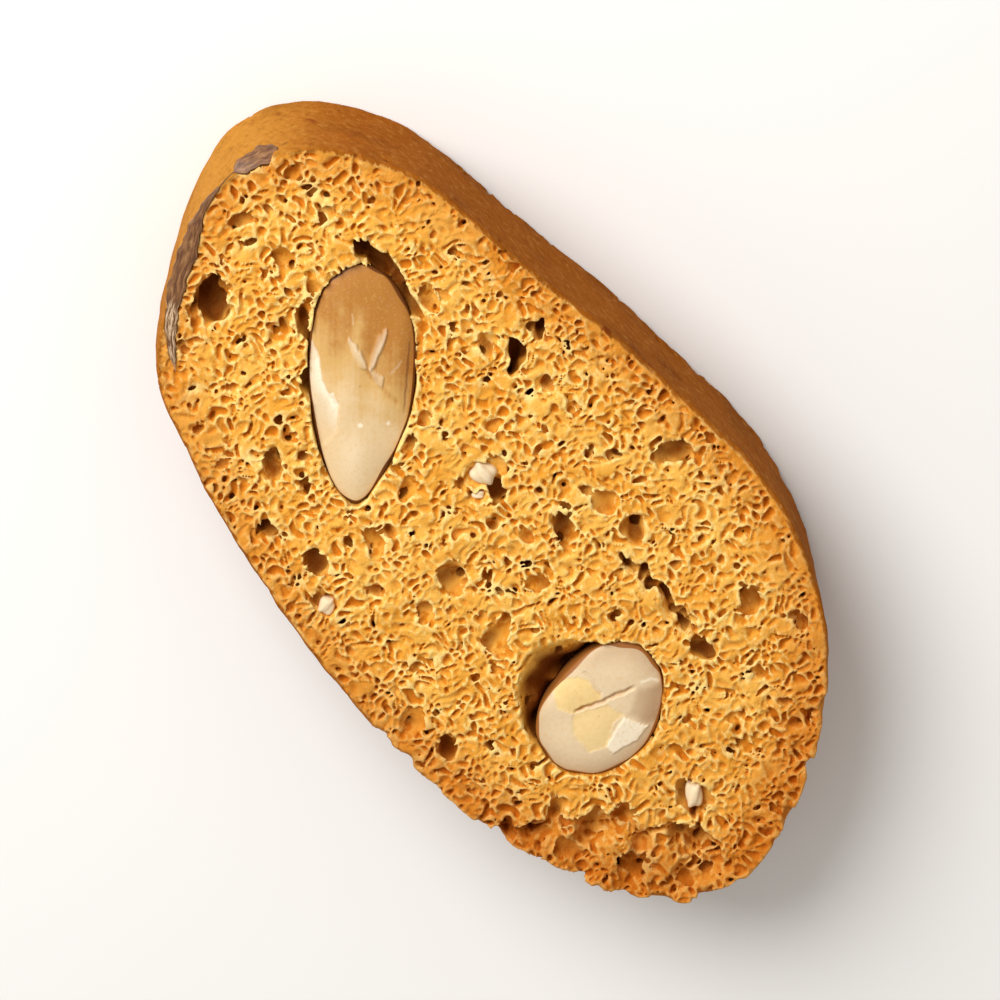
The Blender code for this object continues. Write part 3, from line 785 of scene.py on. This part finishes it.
        # The wide gap on one side of the almond that was cut across, which slopes down toward the almond
        almond = almondSizes["almond_crosswise"]
        x, y = (axis[:, :, 0] - middle for axis, middle in zip((self.x, self.y), almond["at"]))
        reach = almondReach(almond, self.x[:, :, 0], self.y[:, :, 0])
        far = np.hypot(x, y) * (1 - 1 / np.maximum(reach, 0.05))
        far = far + self.addWaves(0, crescent["edgeWaves"], self.planNoise)[:, :, 0]
        turn = np.degrees(np.arctan2(y, x)) - crescent["way"]
        turn = (turn + 180) % 360 - 180
        width = crescent["width"] * np.exp(-((turn / np.where(turn > 0, *crescent["spread"])) ** 2))
        share = np.clip(1 - far / np.maximum(width, 0.01), 0, 1) * (far > -0.6)
        rough = self.addWaves(1, crescent["floorWaves"], self.planNoise)[:, :, 0]
        drop = crescent["depth"] * share ** crescent["slope"] * smoothStep(0.3, 1.2, width) * rough
        drop = drop[:, :, None]
        self.pocket = np.sqrt(share)[:, :, None]
        np.maximum(self.solid, np.where(drop > 0.1, (drop - (thickness - self.z)) * 0.5, -1), out=self.solid)

    def carveRimPocket(self):
        path = sliverPath()
        part = self.window(path[:, :3].mean(axis=0), np.array([10.0, 15.0, 4.0]))
        spot = [axis[tuple(p if axis.shape[k] > 1 else slice(None) for k, p in enumerate(part))]
                for axis in (self.x, self.y, self.z)]
        best = np.full(self.solid[part].shape, 1e9, np.float32)
        hollow = np.full(self.solid[part].shape, -1.0, np.float32)
        for i, (a, b) in enumerate(zip(path, path[1:])):
            way = b[:3] - a[:3]
            off = [s - o for s, o in zip(spot, a)]
            t = np.clip(sum(o * w for o, w in zip(off, way)) / (way @ way), 0, 1)
            off = [o - t * w for o, w in zip(off, way)]
            far = np.sqrt(sum(o * o for o in off))
            rise = sum(o * n for o, n in zip(off, (a[3:] + b[3:]) / 2))
            side = np.sqrt(np.maximum(far ** 2 - rise ** 2, 0))
            half = sliverHalf((i + t) / (len(path) - 1)) + 0.05
            deep = rimAlmond["depth"] * np.minimum(1, half / rimAlmond["fullFrom"])
            groove = (1 - np.sqrt((side / half) ** 2 + (np.minimum(rise, 0) / deep) ** 2)) * half
            nearer = far < best
            hollow = np.where(nearer & (rise < 1.2), groove, np.where(nearer, -1.0, hollow))
            best = np.where(nearer, far, best)
        np.maximum(self.solid[part], hollow, out=self.solid[part])

    def carveTear(self):
        # A ragged edge, under which one side has dropped and slopes back up
        x, y = (self.addWaves(axis, tear["edgeWaves"], self.planNoise)[:, :, 0] for axis in (self.x, self.y))
        far, along = distanceToLine(x, y, tear["edge"])
        low = insideCurve(x, y, np.array(tear["edge"] + tear["lowSide"]))
        ends = between(along, 0.0, 0.1, 0.94, 1.0)
        drop = tear["depth"] * ends * low * smoothStep(0.0, 0.2, far)
        drop = (drop * np.exp(-((far / tear["reach"]) ** 1.3)))[:, :, None]
        np.maximum(self.solid, np.where(drop > 0.1, (drop - (thickness - self.z)) * 0.8, -1), out=self.solid)

    def make(self):
        self.makeSlab()
        inner = smoothStep(-0.2, -0.9, self.plan)
        self.solid += (inner * self.addWaves(0, crumb["skinWaves"], self.noise)).astype(np.float32)
        np.maximum(self.solid, 0.02 - self.z, out=self.solid)
        for pitch, low, high, share, deep in scatteredBubbles.values():
            for zLow, zHigh in ((thickness - deep, thickness + 0.3), (-0.3, deep)):
                self.scatter(pitch, low, high, share, zLow, zHigh)
        for bubble in openBubbles + widePockets:
            self.openBubble(*bubble)
        for x, y, length, width, turn, _ in nutChips:
            self.openBubble(x, y, length + 0.3, width + 0.3, turn, 1.2)
        self.carvePockets()
        self.carveCrescent()
        self.carveRimPocket()
        self.carveTear()
        self.cleanUp()

    def joined(self, room, start):
        # The cells of a space that can be reached from its start
        while True:
            grown = start.copy()
            for axis in range(3):
                ahead, behind = [slice(None)] * 3, [slice(None)] * 3
                ahead[axis], behind[axis] = slice(1, None), slice(None, -1)
                grown[tuple(ahead)] |= start[tuple(behind)]
                grown[tuple(behind)] |= start[tuple(ahead)]
            grown &= room
            if grown.sum() == start.sum():
                return grown
            start = grown

    def cleanUp(self):
        # Fills bubbles that open nowhere, and drops crumbs that hang on nothing
        air = self.solid > 0
        outside = np.broadcast_to(self.plan > 0.6, air.shape) | (self.z > thickness + 0.4) | (self.z < -0.4)
        self.solid[air & ~self.joined(air, outside & air)] = -0.5 * self.step
        solid = self.solid <= 0
        core = (self.plan < -3) & (self.z > 3.5) & (self.z < 9) & solid
        self.solid[solid & ~self.joined(solid, core)] = 0.5 * self.step

    def sample(self, field, spots):
        index = np.round((spots - self.low) / self.step).astype(int)
        index = np.clip(index, 0, np.array(field.shape) - 1)
        return field[index[:, 0], index[:, 1], index[:, 2]]

    def crowding(self, reach):
        # The share of solid crumb round each place: high down in a hollow, low on a ridge
        field = np.clip(0.5 - self.solid / self.step, 0, 1).astype(np.float32)
        span = max(1, int(round(reach / self.step)))
        for axis in range(3):
            total = np.cumsum(field, axis=axis, dtype=np.float32)
            field = (np.roll(total, -span, axis=axis) - np.roll(total, span + 1, axis=axis)) / (2 * span + 1)
        return np.clip(field, 0, 1)

    def surface(self):
        grid = openvdb.FloatGrid()
        limit = 3 * self.step
        grid.background = limit
        grid.copyFromArray(np.clip(self.solid, -limit, limit))
        spots, *faces = grid.convertToPolygons(isovalue=0.0, adaptivity=0.1)
        return meshFrom("crumb", np.asarray(spots) * self.step + self.low, [np.asarray(f) for f in faces])

    def paint(self, mesh, crowd):
        spots = places(mesh)
        x, y, z = spots.T
        top = z > thickness / 2
        plan, wall = self.sample(self.plan, spots), self.sample(self.wall, spots)
        torn = self.sample(self.torn, spots) * top
        # how far below its face each place lies, for the painted shade down in bubbles and pockets; more in
        # the crescent pocket
        depth = np.minimum(thickness - z - torn * crumb["tornDepth"] * 0.8, z)
        depth = depth * (plan < -crumb["crustDepth"])
        depth = depth + crumb["pocketShade"] * self.sample(self.pocket, spots) * top
        pits = [self.sample(pitShade, spots) for pitShade in self.pits]
        crumbly = self.sample(self.crumbly, spots) * smoothStep(9.0, 13.5, z)
        crust = smoothStep(-crumb["crustDepth"], -crumb["crustDepth"] + crumb["crustFade"], wall)
        *rim, rimShare = crumb["toastRim"]
        *end, endShare = crumb["toastEnd"]
        toast = smoothStep(*rim, plan) * rimShare + endShare * smoothStep(*end, x - 0.5 * y)
        setValues(mesh, "depth", depth)
        # painted glow and shade in hollows, from the crumb crowding round each place and from its depth
        setValues(mesh, "hollow", np.maximum(self.sample(crowd, spots), 0.55 * smoothStep(0.6, 1.3, depth)))
        # how deep each place is sunk into a cut cell, for painted glow and shade
        setValues(mesh, "pitShade", np.where(top, *pits))
        setValues(mesh, "crust", crust * (1 - 0.75 * crumbly))
        setValues(mesh, "along", self.sample(self.along, spots) * outlineLength * mm)
        setValues(mesh, "toast", np.clip(toast, 0, 1))
        setValues(mesh, "browned", smoothStep(*crumb["brownedEnd"], x + 0.25 * y))
        # painted shade under the torn lip
        setValues(mesh, "torn", torn)


def splitAcross(mesh, cuts):
    # Cuts a closed mesh across its length, and closes each part at the cuts
    parts = []
    whole = bmesh.new()
    whole.from_mesh(mesh)
    for place in list(cuts) + [None]:
        part = whole
        if place is not None:
            part = whole.copy()
            for body, way in ((part, 1.0), (whole, -1.0)):
                everything = body.verts[:] + body.edges[:] + body.faces[:]
                cut = bmesh.ops.bisect_plane(
                    body, geom=everything, dist=1e-5, plane_co=(place, 0, 0), plane_no=(way, 0, 0),
                    clear_outer=True
                )["geom_cut"]
                rim = [e for e in cut if isinstance(e, bmesh.types.BMEdge) and e.is_boundary]
                bmesh.ops.triangle_fill(body, edges=rim, use_dissolve=False, normal=(way, 0, 0))
                for edge in rim:
                    edge.smooth = False  # so that the cut does not bend the shading of the crumb beside it
        bmesh.ops.triangulate(part, faces=[f for f in part.faces if len(f.verts) > 4])
        parts.append(meshOf("crumb_part", part))
    return parts


def makeCrumb(finish):
    print("carving the crumb")
    block = CrumbBlock()
    block.make()
    crowd = block.crowding(0.45)
    whole = block.surface()
    print("cutting the crumb across", len(whole.polygons), "faces")
    for name, mesh in zip(crumb["names"], splitAcross(whole, crumb["cuts"])):
        block.paint(mesh, crowd)
        finishPiece(name, mesh, finish, ["biscuit"])
        print(name, sum(len(p.vertices) - 2 for p in mesh.polygons), "triangles")
    bpy.data.meshes.remove(whole)


# The cut almonds: each is a ball pressed to a low crown above and a bowl below

kernels = {
    "roundness": 7,  # subdivisions of the ball
    "underRoundness": 6,
    "crownShape": 0.75,  # the lower, the flatter the cut face
    "waviness": 0.05,
    "skinWidth": 0.22,
    "skinFade": 0.12,
    "ripple": 0.014,
}
# Marks on the two almonds that show, in halves of the length and width like the outlines
lengthwiseMarks = {
    "leaves": (((-0.40, -0.26), (-0.15, 0.095), 0.085), ((-0.47, 0.47), (-0.15, 0.15), 0.085)),
    "chip": ((-0.166, 0.105), (-0.148, 0.216), (-0.094, 0.439), (0.013, 0.426), (-0.014, 0.292)),
    "scratches": (((-0.225, 0.8), (-0.095, 0.548)), ((-0.627, -0.196), (-0.511, -0.143))),
    "crease": ((-0.146, 0.063), (0.032, 0.471), (0.153, 0.766)),
    "peelEdge": ((-0.42, -0.99), (-0.345, -0.90), (-0.221, -0.775), (-0.038, -0.715), (0.076, -0.575),
                 (0.16, -0.393), (0.383, -0.396), (0.463, -0.542), (0.56, -0.80)),
    "shines": (((0.10, -0.54), (0.155, -0.49), 0.05), ((-0.17, -0.83), (-0.11, -0.79), 0.04)),
    "spots": ((0.311, 0.56), (0.338, 0.016)),
}
crosswiseMarks = {
    "shift": (0.065, 0.075),
    "split": ((-0.267, 0.286), (0.097, 0.064), (0.557, -0.207)),
    "lip": ((0.582, -0.179), (0.719, -0.288), (0.74, -0.449)),
    "creamPatch": ((-0.182, 0.806), (-0.068, 0.829), (0.142, 0.644), (0.193, 0.438), (0.134, 0.106),
                   (-0.053, 0.159), (-0.247, 0.256), (-0.338, 0.523)),
    "lowPatch": ((-0.291, 0.258), (0.112, -0.024), (0.155, -0.347), (-0.024, -0.338), (-0.33, -0.526),
                 (-0.519, -0.371), (-0.463, 0.063)),
    "flake": ((0.128, -0.403), (0.218, -0.83), (0.005, -0.834), (-0.336, -0.691), (-0.321, -0.506)),
    "facet": ((0.233, 0.668), (0.235, 0.406), (0.146, 0.12)),
    "greyRight": ((0.533, -0.235), (0.725, -0.492), (0.362, -0.852), (0.232, -0.787), (0.182, -0.421)),
    "greyTop": ((0.251, 0.609), (0.523, 0.654), (0.962, 0.253), (0.877, -0.267), (0.723, -0.23),
                (0.166, 0.09)),
}
hiddenMarks = {"split": ((-0.6, 0.05), (0.0, -0.04), (0.55, 0.03))}


def insidePatch(u, v, corners, soft):
    # 1 inside a patch, falling to 0 across its edge
    far, _ = distanceToLine(u, v, corners, closed=True)
    return smoothStep(-soft, soft, np.where(insideCurve(u, v, np.array(corners)), far, -far))


def nearLine(u, v, points, width):
    # 1 on a line, falling to 0 at its width and toward both its ends
    far, along = distanceToLine(u, v, points)
    return smoothStep(width, 0.0, far) * between(along, 0.0, 0.12, 0.88, 1.0)


def leafMark(u, v, start, end, width):
    # A thin raised leaf: highest along one edge, pointed at both ends
    way = np.array(end) - np.array(start)
    along = ((u - start[0]) * way[0] + (v - start[1]) * way[1]) / (way @ way)
    across = ((v - start[1]) * way[0] - (u - start[0]) * way[1]) / np.hypot(*way)
    half = width * np.sqrt(np.clip(4 * along * (1 - along), 0, 1))
    height = np.clip(0.7 + across / (2 * width), 0, 1.2)
    return smoothStep(half, half * 0.5, np.abs(across)) * (half > 0) * height


def ripples(u, v, seed, waves):
    # Smooth unevenness of about unit spread
    draw = np.random.default_rng(seed)
    turns = draw.normal(0, waves, (10, 2))
    return sum(np.sin(u * a + v * b + c) for (a, b), c in zip(turns, draw.uniform(0, 6.3, 10))) / 2.2


def addMark(looks, share, **amounts):
    # Changes the looks where the mark is: shares of the colours, and lift in millimetres
    for key, amount in amounts.items():
        looks[key] += amount * share


def lengthwiseLooks(u, v, looks):
    m = lengthwiseMarks
    darkSide = smoothStep(-0.04, 0.05, (v - 0.063) * 0.42 - (u + 0.146)) * smoothStep(0.0, 0.3, v)
    addMark(looks, smoothStep(0.62, -0.85, u - 0.12 * v), tan=1)
    addMark(looks, smoothStep(0.3, 1.0, v) * smoothStep(0.6, -0.2, u), tan=0.20)
    addMark(looks, smoothStep(0.25, 0.0, np.abs(v + 0.25 + 0.4 * u)) * smoothStep(-0.9, -0.5, u), tan=-0.20)
    addMark(looks, darkSide, tan=0.12)
    addMark(looks, ripples(0.5 * u, 3 * v, 11, 12), tan=0.04)
    # painted sheen: whitish light across the lower third of the face
    addMark(looks, np.exp(-(((u - 0.60) / 0.28) ** 2) - ((v + 0.10) / 0.35) ** 2), pale=0.35)
    addMark(looks, nearLine(u, v, m["crease"], 0.06), lift=-0.05)
    addMark(looks, nearLine(u, v, m["crease"], 0.05), tan=0.25)
    for start, end, width in m["leaves"]:
        addMark(looks, leafMark(u, v, start, end, width), lift=0.26, pale=0.55)
    addMark(looks, insidePatch(u, v, m["chip"], 0.015), lift=0.16, pale=0.35)
    for line in m["scratches"]:
        addMark(looks, nearLine(u, v, line, 0.03), pale=0.35)
    for x, y in m["spots"]:
        addMark(looks, smoothStep(0.03, 0.01, np.hypot(u - x, (v - y) * 0.45)), pale=0.8)
    edge = np.array(m["peelEdge"])
    edgeAt = np.interp(u, edge[:, 0], edge[:, 1], left=-2, right=-2)
    peel = smoothStep(0.04, -0.05, v - edgeAt)
    addMark(looks, peel, lift=-0.11)
    addMark(looks, peel * smoothStep(0.65, 0.0, u), peel=0.8)
    addMark(looks, peel * smoothStep(0.42, 0.0, edgeAt - v) * between(u, -0.42, -0.1, 0.1, 0.5), pale=0.85)
    addMark(looks, nearLine(u, v, m["peelEdge"], 0.03), skin=0.18)
    for start, end, width in m["shines"]:
        addMark(looks, smoothStep(width, width * 0.4, distanceToLine(u, v, (start, end))[0]), pale=0.9)
    leftOver = smoothStep(0.05, 0.0, np.abs(v - 0.88 + 0.1 * u)) * between(u, -0.5, -0.3, 0.1, 0.3)
    addMark(looks, leftOver, skin=0.6)


def crosswiseLooks(u, v, looks):
    m = crosswiseMarks
    u, v = u - m["shift"][0], v - m["shift"][1]
    addMark(looks, 1, tan=0.08, peel=0.75)
    # painted shade: greyer toward the rim of the domed face
    addMark(looks, smoothStep(0.5, 1.0, np.hypot(u, v)), grey=0.5)
    addMark(looks, nearLine(u, v, m["split"], 0.05), lift=-0.35, tan=0.9, peel=-0.3)
    addMark(looks, insidePatch(u, v, m["greyTop"], 0.06), grey=0.12)
    addMark(looks, insidePatch(u, v, m["greyRight"], 0.08), grey=0.5)
    addMark(looks, insidePatch(u, v, m["creamPatch"], 0.025), peel=-0.75, grey=-0.25, lift=-0.07)
    addMark(looks, insidePatch(u, v, m["lowPatch"], 0.025), peel=-0.5, grey=-0.25, lift=-0.07)
    addMark(looks, insidePatch(u, v, m["flake"], 0.02), lift=0.15, pale=0.8)
    addMark(looks, nearLine(u, v, m["lip"], 0.05), pale=0.6)
    addMark(looks, nearLine(u, v, m["facet"], 0.045), lift=-0.10, tan=0.5)
    leftOver = smoothStep(0.10, 0.0, np.abs(v - 0.84)) * between(u, -0.1, 0.1, 0.5, 0.7)
    addMark(looks, leftOver, skin=0.7)


def hiddenLooks(u, v, looks):
    addMark(looks, 1, tan=0.35)
    addMark(looks, smoothStep(0.6, -0.6, u), tan=0.3)
    addMark(looks, nearLine(u, v, hiddenMarks["split"], 0.05), lift=-0.2, tan=0.5)


def kernelMesh(name, roundness, markUp):
    almond = almondSizes[name]
    ball = bmesh.new()
    bmesh.ops.create_icosphere(ball, subdivisions=roundness, radius=1.0)
    mesh = meshOf(name, ball)
    spots = places(mesh)
    u, v, w = spots[:, 0], spots[:, 1], spots[:, 2]
    reach = np.hypot(u, v)
    wide = almondRadius(almond, u, v)
    u, v = u * wide, v * wide
    looks = {key: np.zeros_like(u) for key in ("tan", "peel", "grey", "pale", "skin", "lift")}
    bent = [axis + kernels["ripple"] * (0.6 * ripples(u, v, seed, 7) + 0.3 * ripples(u, v, seed + 20, 45))
            for seed, axis in ((3, u), (4, v))]
    markUp(bent[0], bent[1], looks)
    toEdge = (1 - reach) * np.hypot(u / np.maximum(reach, 0.01) * almond["length"] / 2,
                                    v / np.maximum(reach, 0.01) * almond["width"] / 2)
    skinWidth = kernels["skinWidth"] * np.maximum(0.3, 1 + 0.5 * ripples(u, v, 5, 7))
    looks["skin"] += smoothStep(skinWidth + kernels["skinFade"], skinWidth, toEdge) + (w <= 0)
    crown = almond["crown"] * np.maximum(w, 0) ** kernels["crownShape"]
    crown = crown + kernels["waviness"] * ripples(u, v, 6, 5) * smoothStep(0, 0.5, w)
    bowl = (almond["depth"] - almond["sink"] + 0.5) * np.minimum(w, 0)
    level = np.where(w > 0, crown + looks.pop("lift") * smoothStep(0, 0.35, w), bowl)
    x, y = turned(u * almond["length"] / 2, v * almond["width"] / 2, -almond["turn"])
    onTop = almond["face"] == "top"
    z = thickness - almond["sink"] + level if onTop else almond["sink"] - level
    moved = np.stack([almond["at"][0] + x, almond["at"][1] + y, z], axis=-1)
    mesh.vertices.foreach_set("co", moved.astype(np.float32).reshape(-1))
    if not onTop:
        mesh.flip_normals()
    for key, values in looks.items():
        setValues(mesh, key, np.clip(values, 0, 1.5 if key == "tan" else 1))
    mesh.update()
    return mesh


def makeKernels():
    print("shaping the almonds")
    toasted = kernelMaterial("toasted_almond_kernel", kernelColours)
    white = kernelMaterial("white_almond_kernel", whiteKernelColours)
    marks = {"almond_lengthwise": lengthwiseLooks, "almond_crosswise": crosswiseLooks}
    for name in almondSizes:
        under = almondSizes[name]["face"] == "base"
        roundness = kernels["underRoundness"] if under else kernels["roundness"]
        mesh = kernelMesh(name, roundness, marks.get(name, hiddenLooks))
        finish = white if name == "almond_crosswise" else toasted
        finishPiece(f"{name}_kernel", mesh, finish, [name])


def makeRimAlmond():
    print("laying the almond sliver in the rim")
    tube = bmesh.new()
    sides = rimAlmond["sides"]
    bmesh.ops.create_cone(tube, cap_ends=True, segments=sides, radius1=1.0, radius2=1.0, depth=2.0)
    upright = [e for e in tube.edges if abs(e.verts[0].co.z - e.verts[1].co.z) > 1]
    bmesh.ops.subdivide_edges(tube, edges=upright, cuts=rimAlmond["cuts"])
    bmesh.ops.triangulate(tube, faces=[f for f in tube.faces if len(f.verts) > 4])
    mesh = meshOf("almond_rim_skin", tube)
    spots = places(mesh)
    along = (spots[:, 2] + 1) / 2
    path = sliverPath()
    index = along * (len(path) - 1)
    first = np.minimum(np.floor(index).astype(int), len(path) - 2)
    nearer = (index - first)[:, None]
    on = path[first] * (1 - nearer) + path[first + 1] * nearer
    way = path[first + 1, :3] - path[first, :3]
    way = way / np.linalg.norm(way, axis=1)[:, None]
    side = np.cross(way, on[:, 3:])
    side = side / np.linalg.norm(side, axis=1)[:, None]
    rise = np.cross(side, way)
    half = sliverHalf(along)
    high = np.where(spots[:, 1] > 0, rimAlmond["rise"], rimAlmond["depth"])
    high = high * np.minimum(1, half / rimAlmond["fullFrom"]) * spots[:, 1]
    moved = on[:, :3] + side * (spots[:, 0] * half)[:, None] + rise * high[:, None]
    mesh.vertices.foreach_set("co", moved.astype(np.float32).reshape(-1))
    length = np.linalg.norm(np.diff(path[:, :3], axis=0), axis=1).sum()
    setValues(mesh, "along", along * length * mm)
    setValues(mesh, "across", np.arctan2(spots[:, 1], spots[:, 0]) * rimAlmond["skinSpan"] * mm)
    setValues(mesh, "tail", smoothStep(*rimAlmond["tailFrom"], along))
    mesh.update()
    both = bmesh.new()
    both.from_mesh(mesh)
    bmesh.ops.recalc_face_normals(both, faces=both.faces[:])
    both.to_mesh(mesh)
    both.free()
    finishPiece("almond_rim_skin", mesh, skinMaterial(), ["almond_rim"])


def makeChips():
    print("pressing in the nut chips")
    both = bmesh.new()
    for x, y, length, width, turn, below in nutChips:
        made = bmesh.ops.create_icosphere(both, subdivisions=4, radius=1.0)["verts"]
        for v in made:
            uneven = 1 + 0.10 * math.sin(3 * v.co.x + 5 * v.co.y + turn)
            boxy = [math.copysign(abs(c) ** 0.75, c) for c in v.co]
            v.co = Vector((boxy[0] * length / 2, boxy[1] * width / 2, boxy[2] * width / 2)) * uneven
        deep = thickness - below - width / 2
        matrix = Matrix.Translation((x, y, deep)) @ Matrix.Rotation(math.radians(turn), 4, "Z")
        bmesh.ops.transform(both, matrix=matrix, verts=made)
    mesh = meshOf("nut_chips", both)
    count = len(mesh.vertices)
    for key, value in (("tan", 0.05), ("peel", 0.0), ("grey", 0.0), ("pale", 0.45), ("skin", 0.0)):
        setValues(mesh, key, np.full(count, value))
    finishPiece("nut_chips", mesh, kernelMaterial("nut_chip", kernelColours), [])


makeCrumb(biscuitMaterial())
makeKernels()
makeRimAlmond()
makeChips()


# Floor, light and camera

studio = {
    "floorColour": "#EFEDEA",
    "worldColour": "#F4F1EC",
    "worldStrength": 0.56,
    "keyPower": 3.45,
    "keySize": 0.42,
    "keyAway": 0.55,
    "keyWay": (-0.85, 0.02, 0.75),
    "lens": 400.0,
    "sensor": 36.0,
    "frameMm": 100.0,  # the width that the picture shows
    "cameraBack": (-0.262, 0.220, 0.940),
    "cameraUp": (-0.720, 0.604, -0.342),
    "target": (0.0, 0.5, 8.5),
}


def makeFloor():
    both = bmesh.new()
    bmesh.ops.create_grid(both, x_segments=1, y_segments=1, size=2.0)
    mesh = meshOf("floor", both)
    floor = bpy.data.objects.new("floor", mesh)
    bpy.context.scene.collection.objects.link(floor)
    finish, shader = newMaterial("matte_paper_floor")  # so pale and dull that the floor only shows shadows
    setInputs(finish, shader, {"Base Color": linearColour(studio["floorColour"]), "Roughness": dry})
    mesh.materials.append(finish)


def makeLights():
    world = bpy.data.worlds.new("studio")
    bpy.context.scene.world = world
    world.use_nodes = True
    backdrop = world.node_tree.nodes["Background"]
    backdrop.inputs["Color"].default_value = linearColour(studio["worldColour"])
    backdrop.inputs["Strength"].default_value = studio["worldStrength"]
    light = bpy.data.lights.new("key", "AREA")
    light.shape = "DISK"
    light.size = studio["keySize"]
    light.energy = studio["keyPower"]
    key = bpy.data.objects.new("key", light)
    way = Vector(studio["keyWay"]).normalized()
    key.location = way * studio["keyAway"]
    key.rotation_euler = way.to_track_quat("Z", "Y").to_euler()
    bpy.context.scene.collection.objects.link(key)


def makeCamera():
    camera = bpy.data.objects.new("camera", bpy.data.cameras.new("camera"))
    bpy.context.scene.collection.objects.link(camera)
    camera.data.lens = studio["lens"]
    camera.data.sensor_width = studio["sensor"]
    away = studio["frameMm"] * mm / 2 / (studio["sensor"] / 2 / studio["lens"])
    back = Vector(studio["cameraBack"]).normalized()
    up = Vector(studio["cameraUp"])
    right = up.cross(back).normalized()
    up = back.cross(right)
    turn = Matrix((right, up, back)).transposed()
    camera.matrix_world = Matrix.Translation(Vector(studio["target"]) * mm + back * away) @ turn.to_4x4()
    camera.data.clip_start = 0.01
    bpy.context.scene.camera = camera


print("setting the floor, light and camera")
makeFloor()
makeLights()
makeCamera()
bpy.context.scene.view_settings.view_transform = "Standard"
bpy.context.view_layer.update()
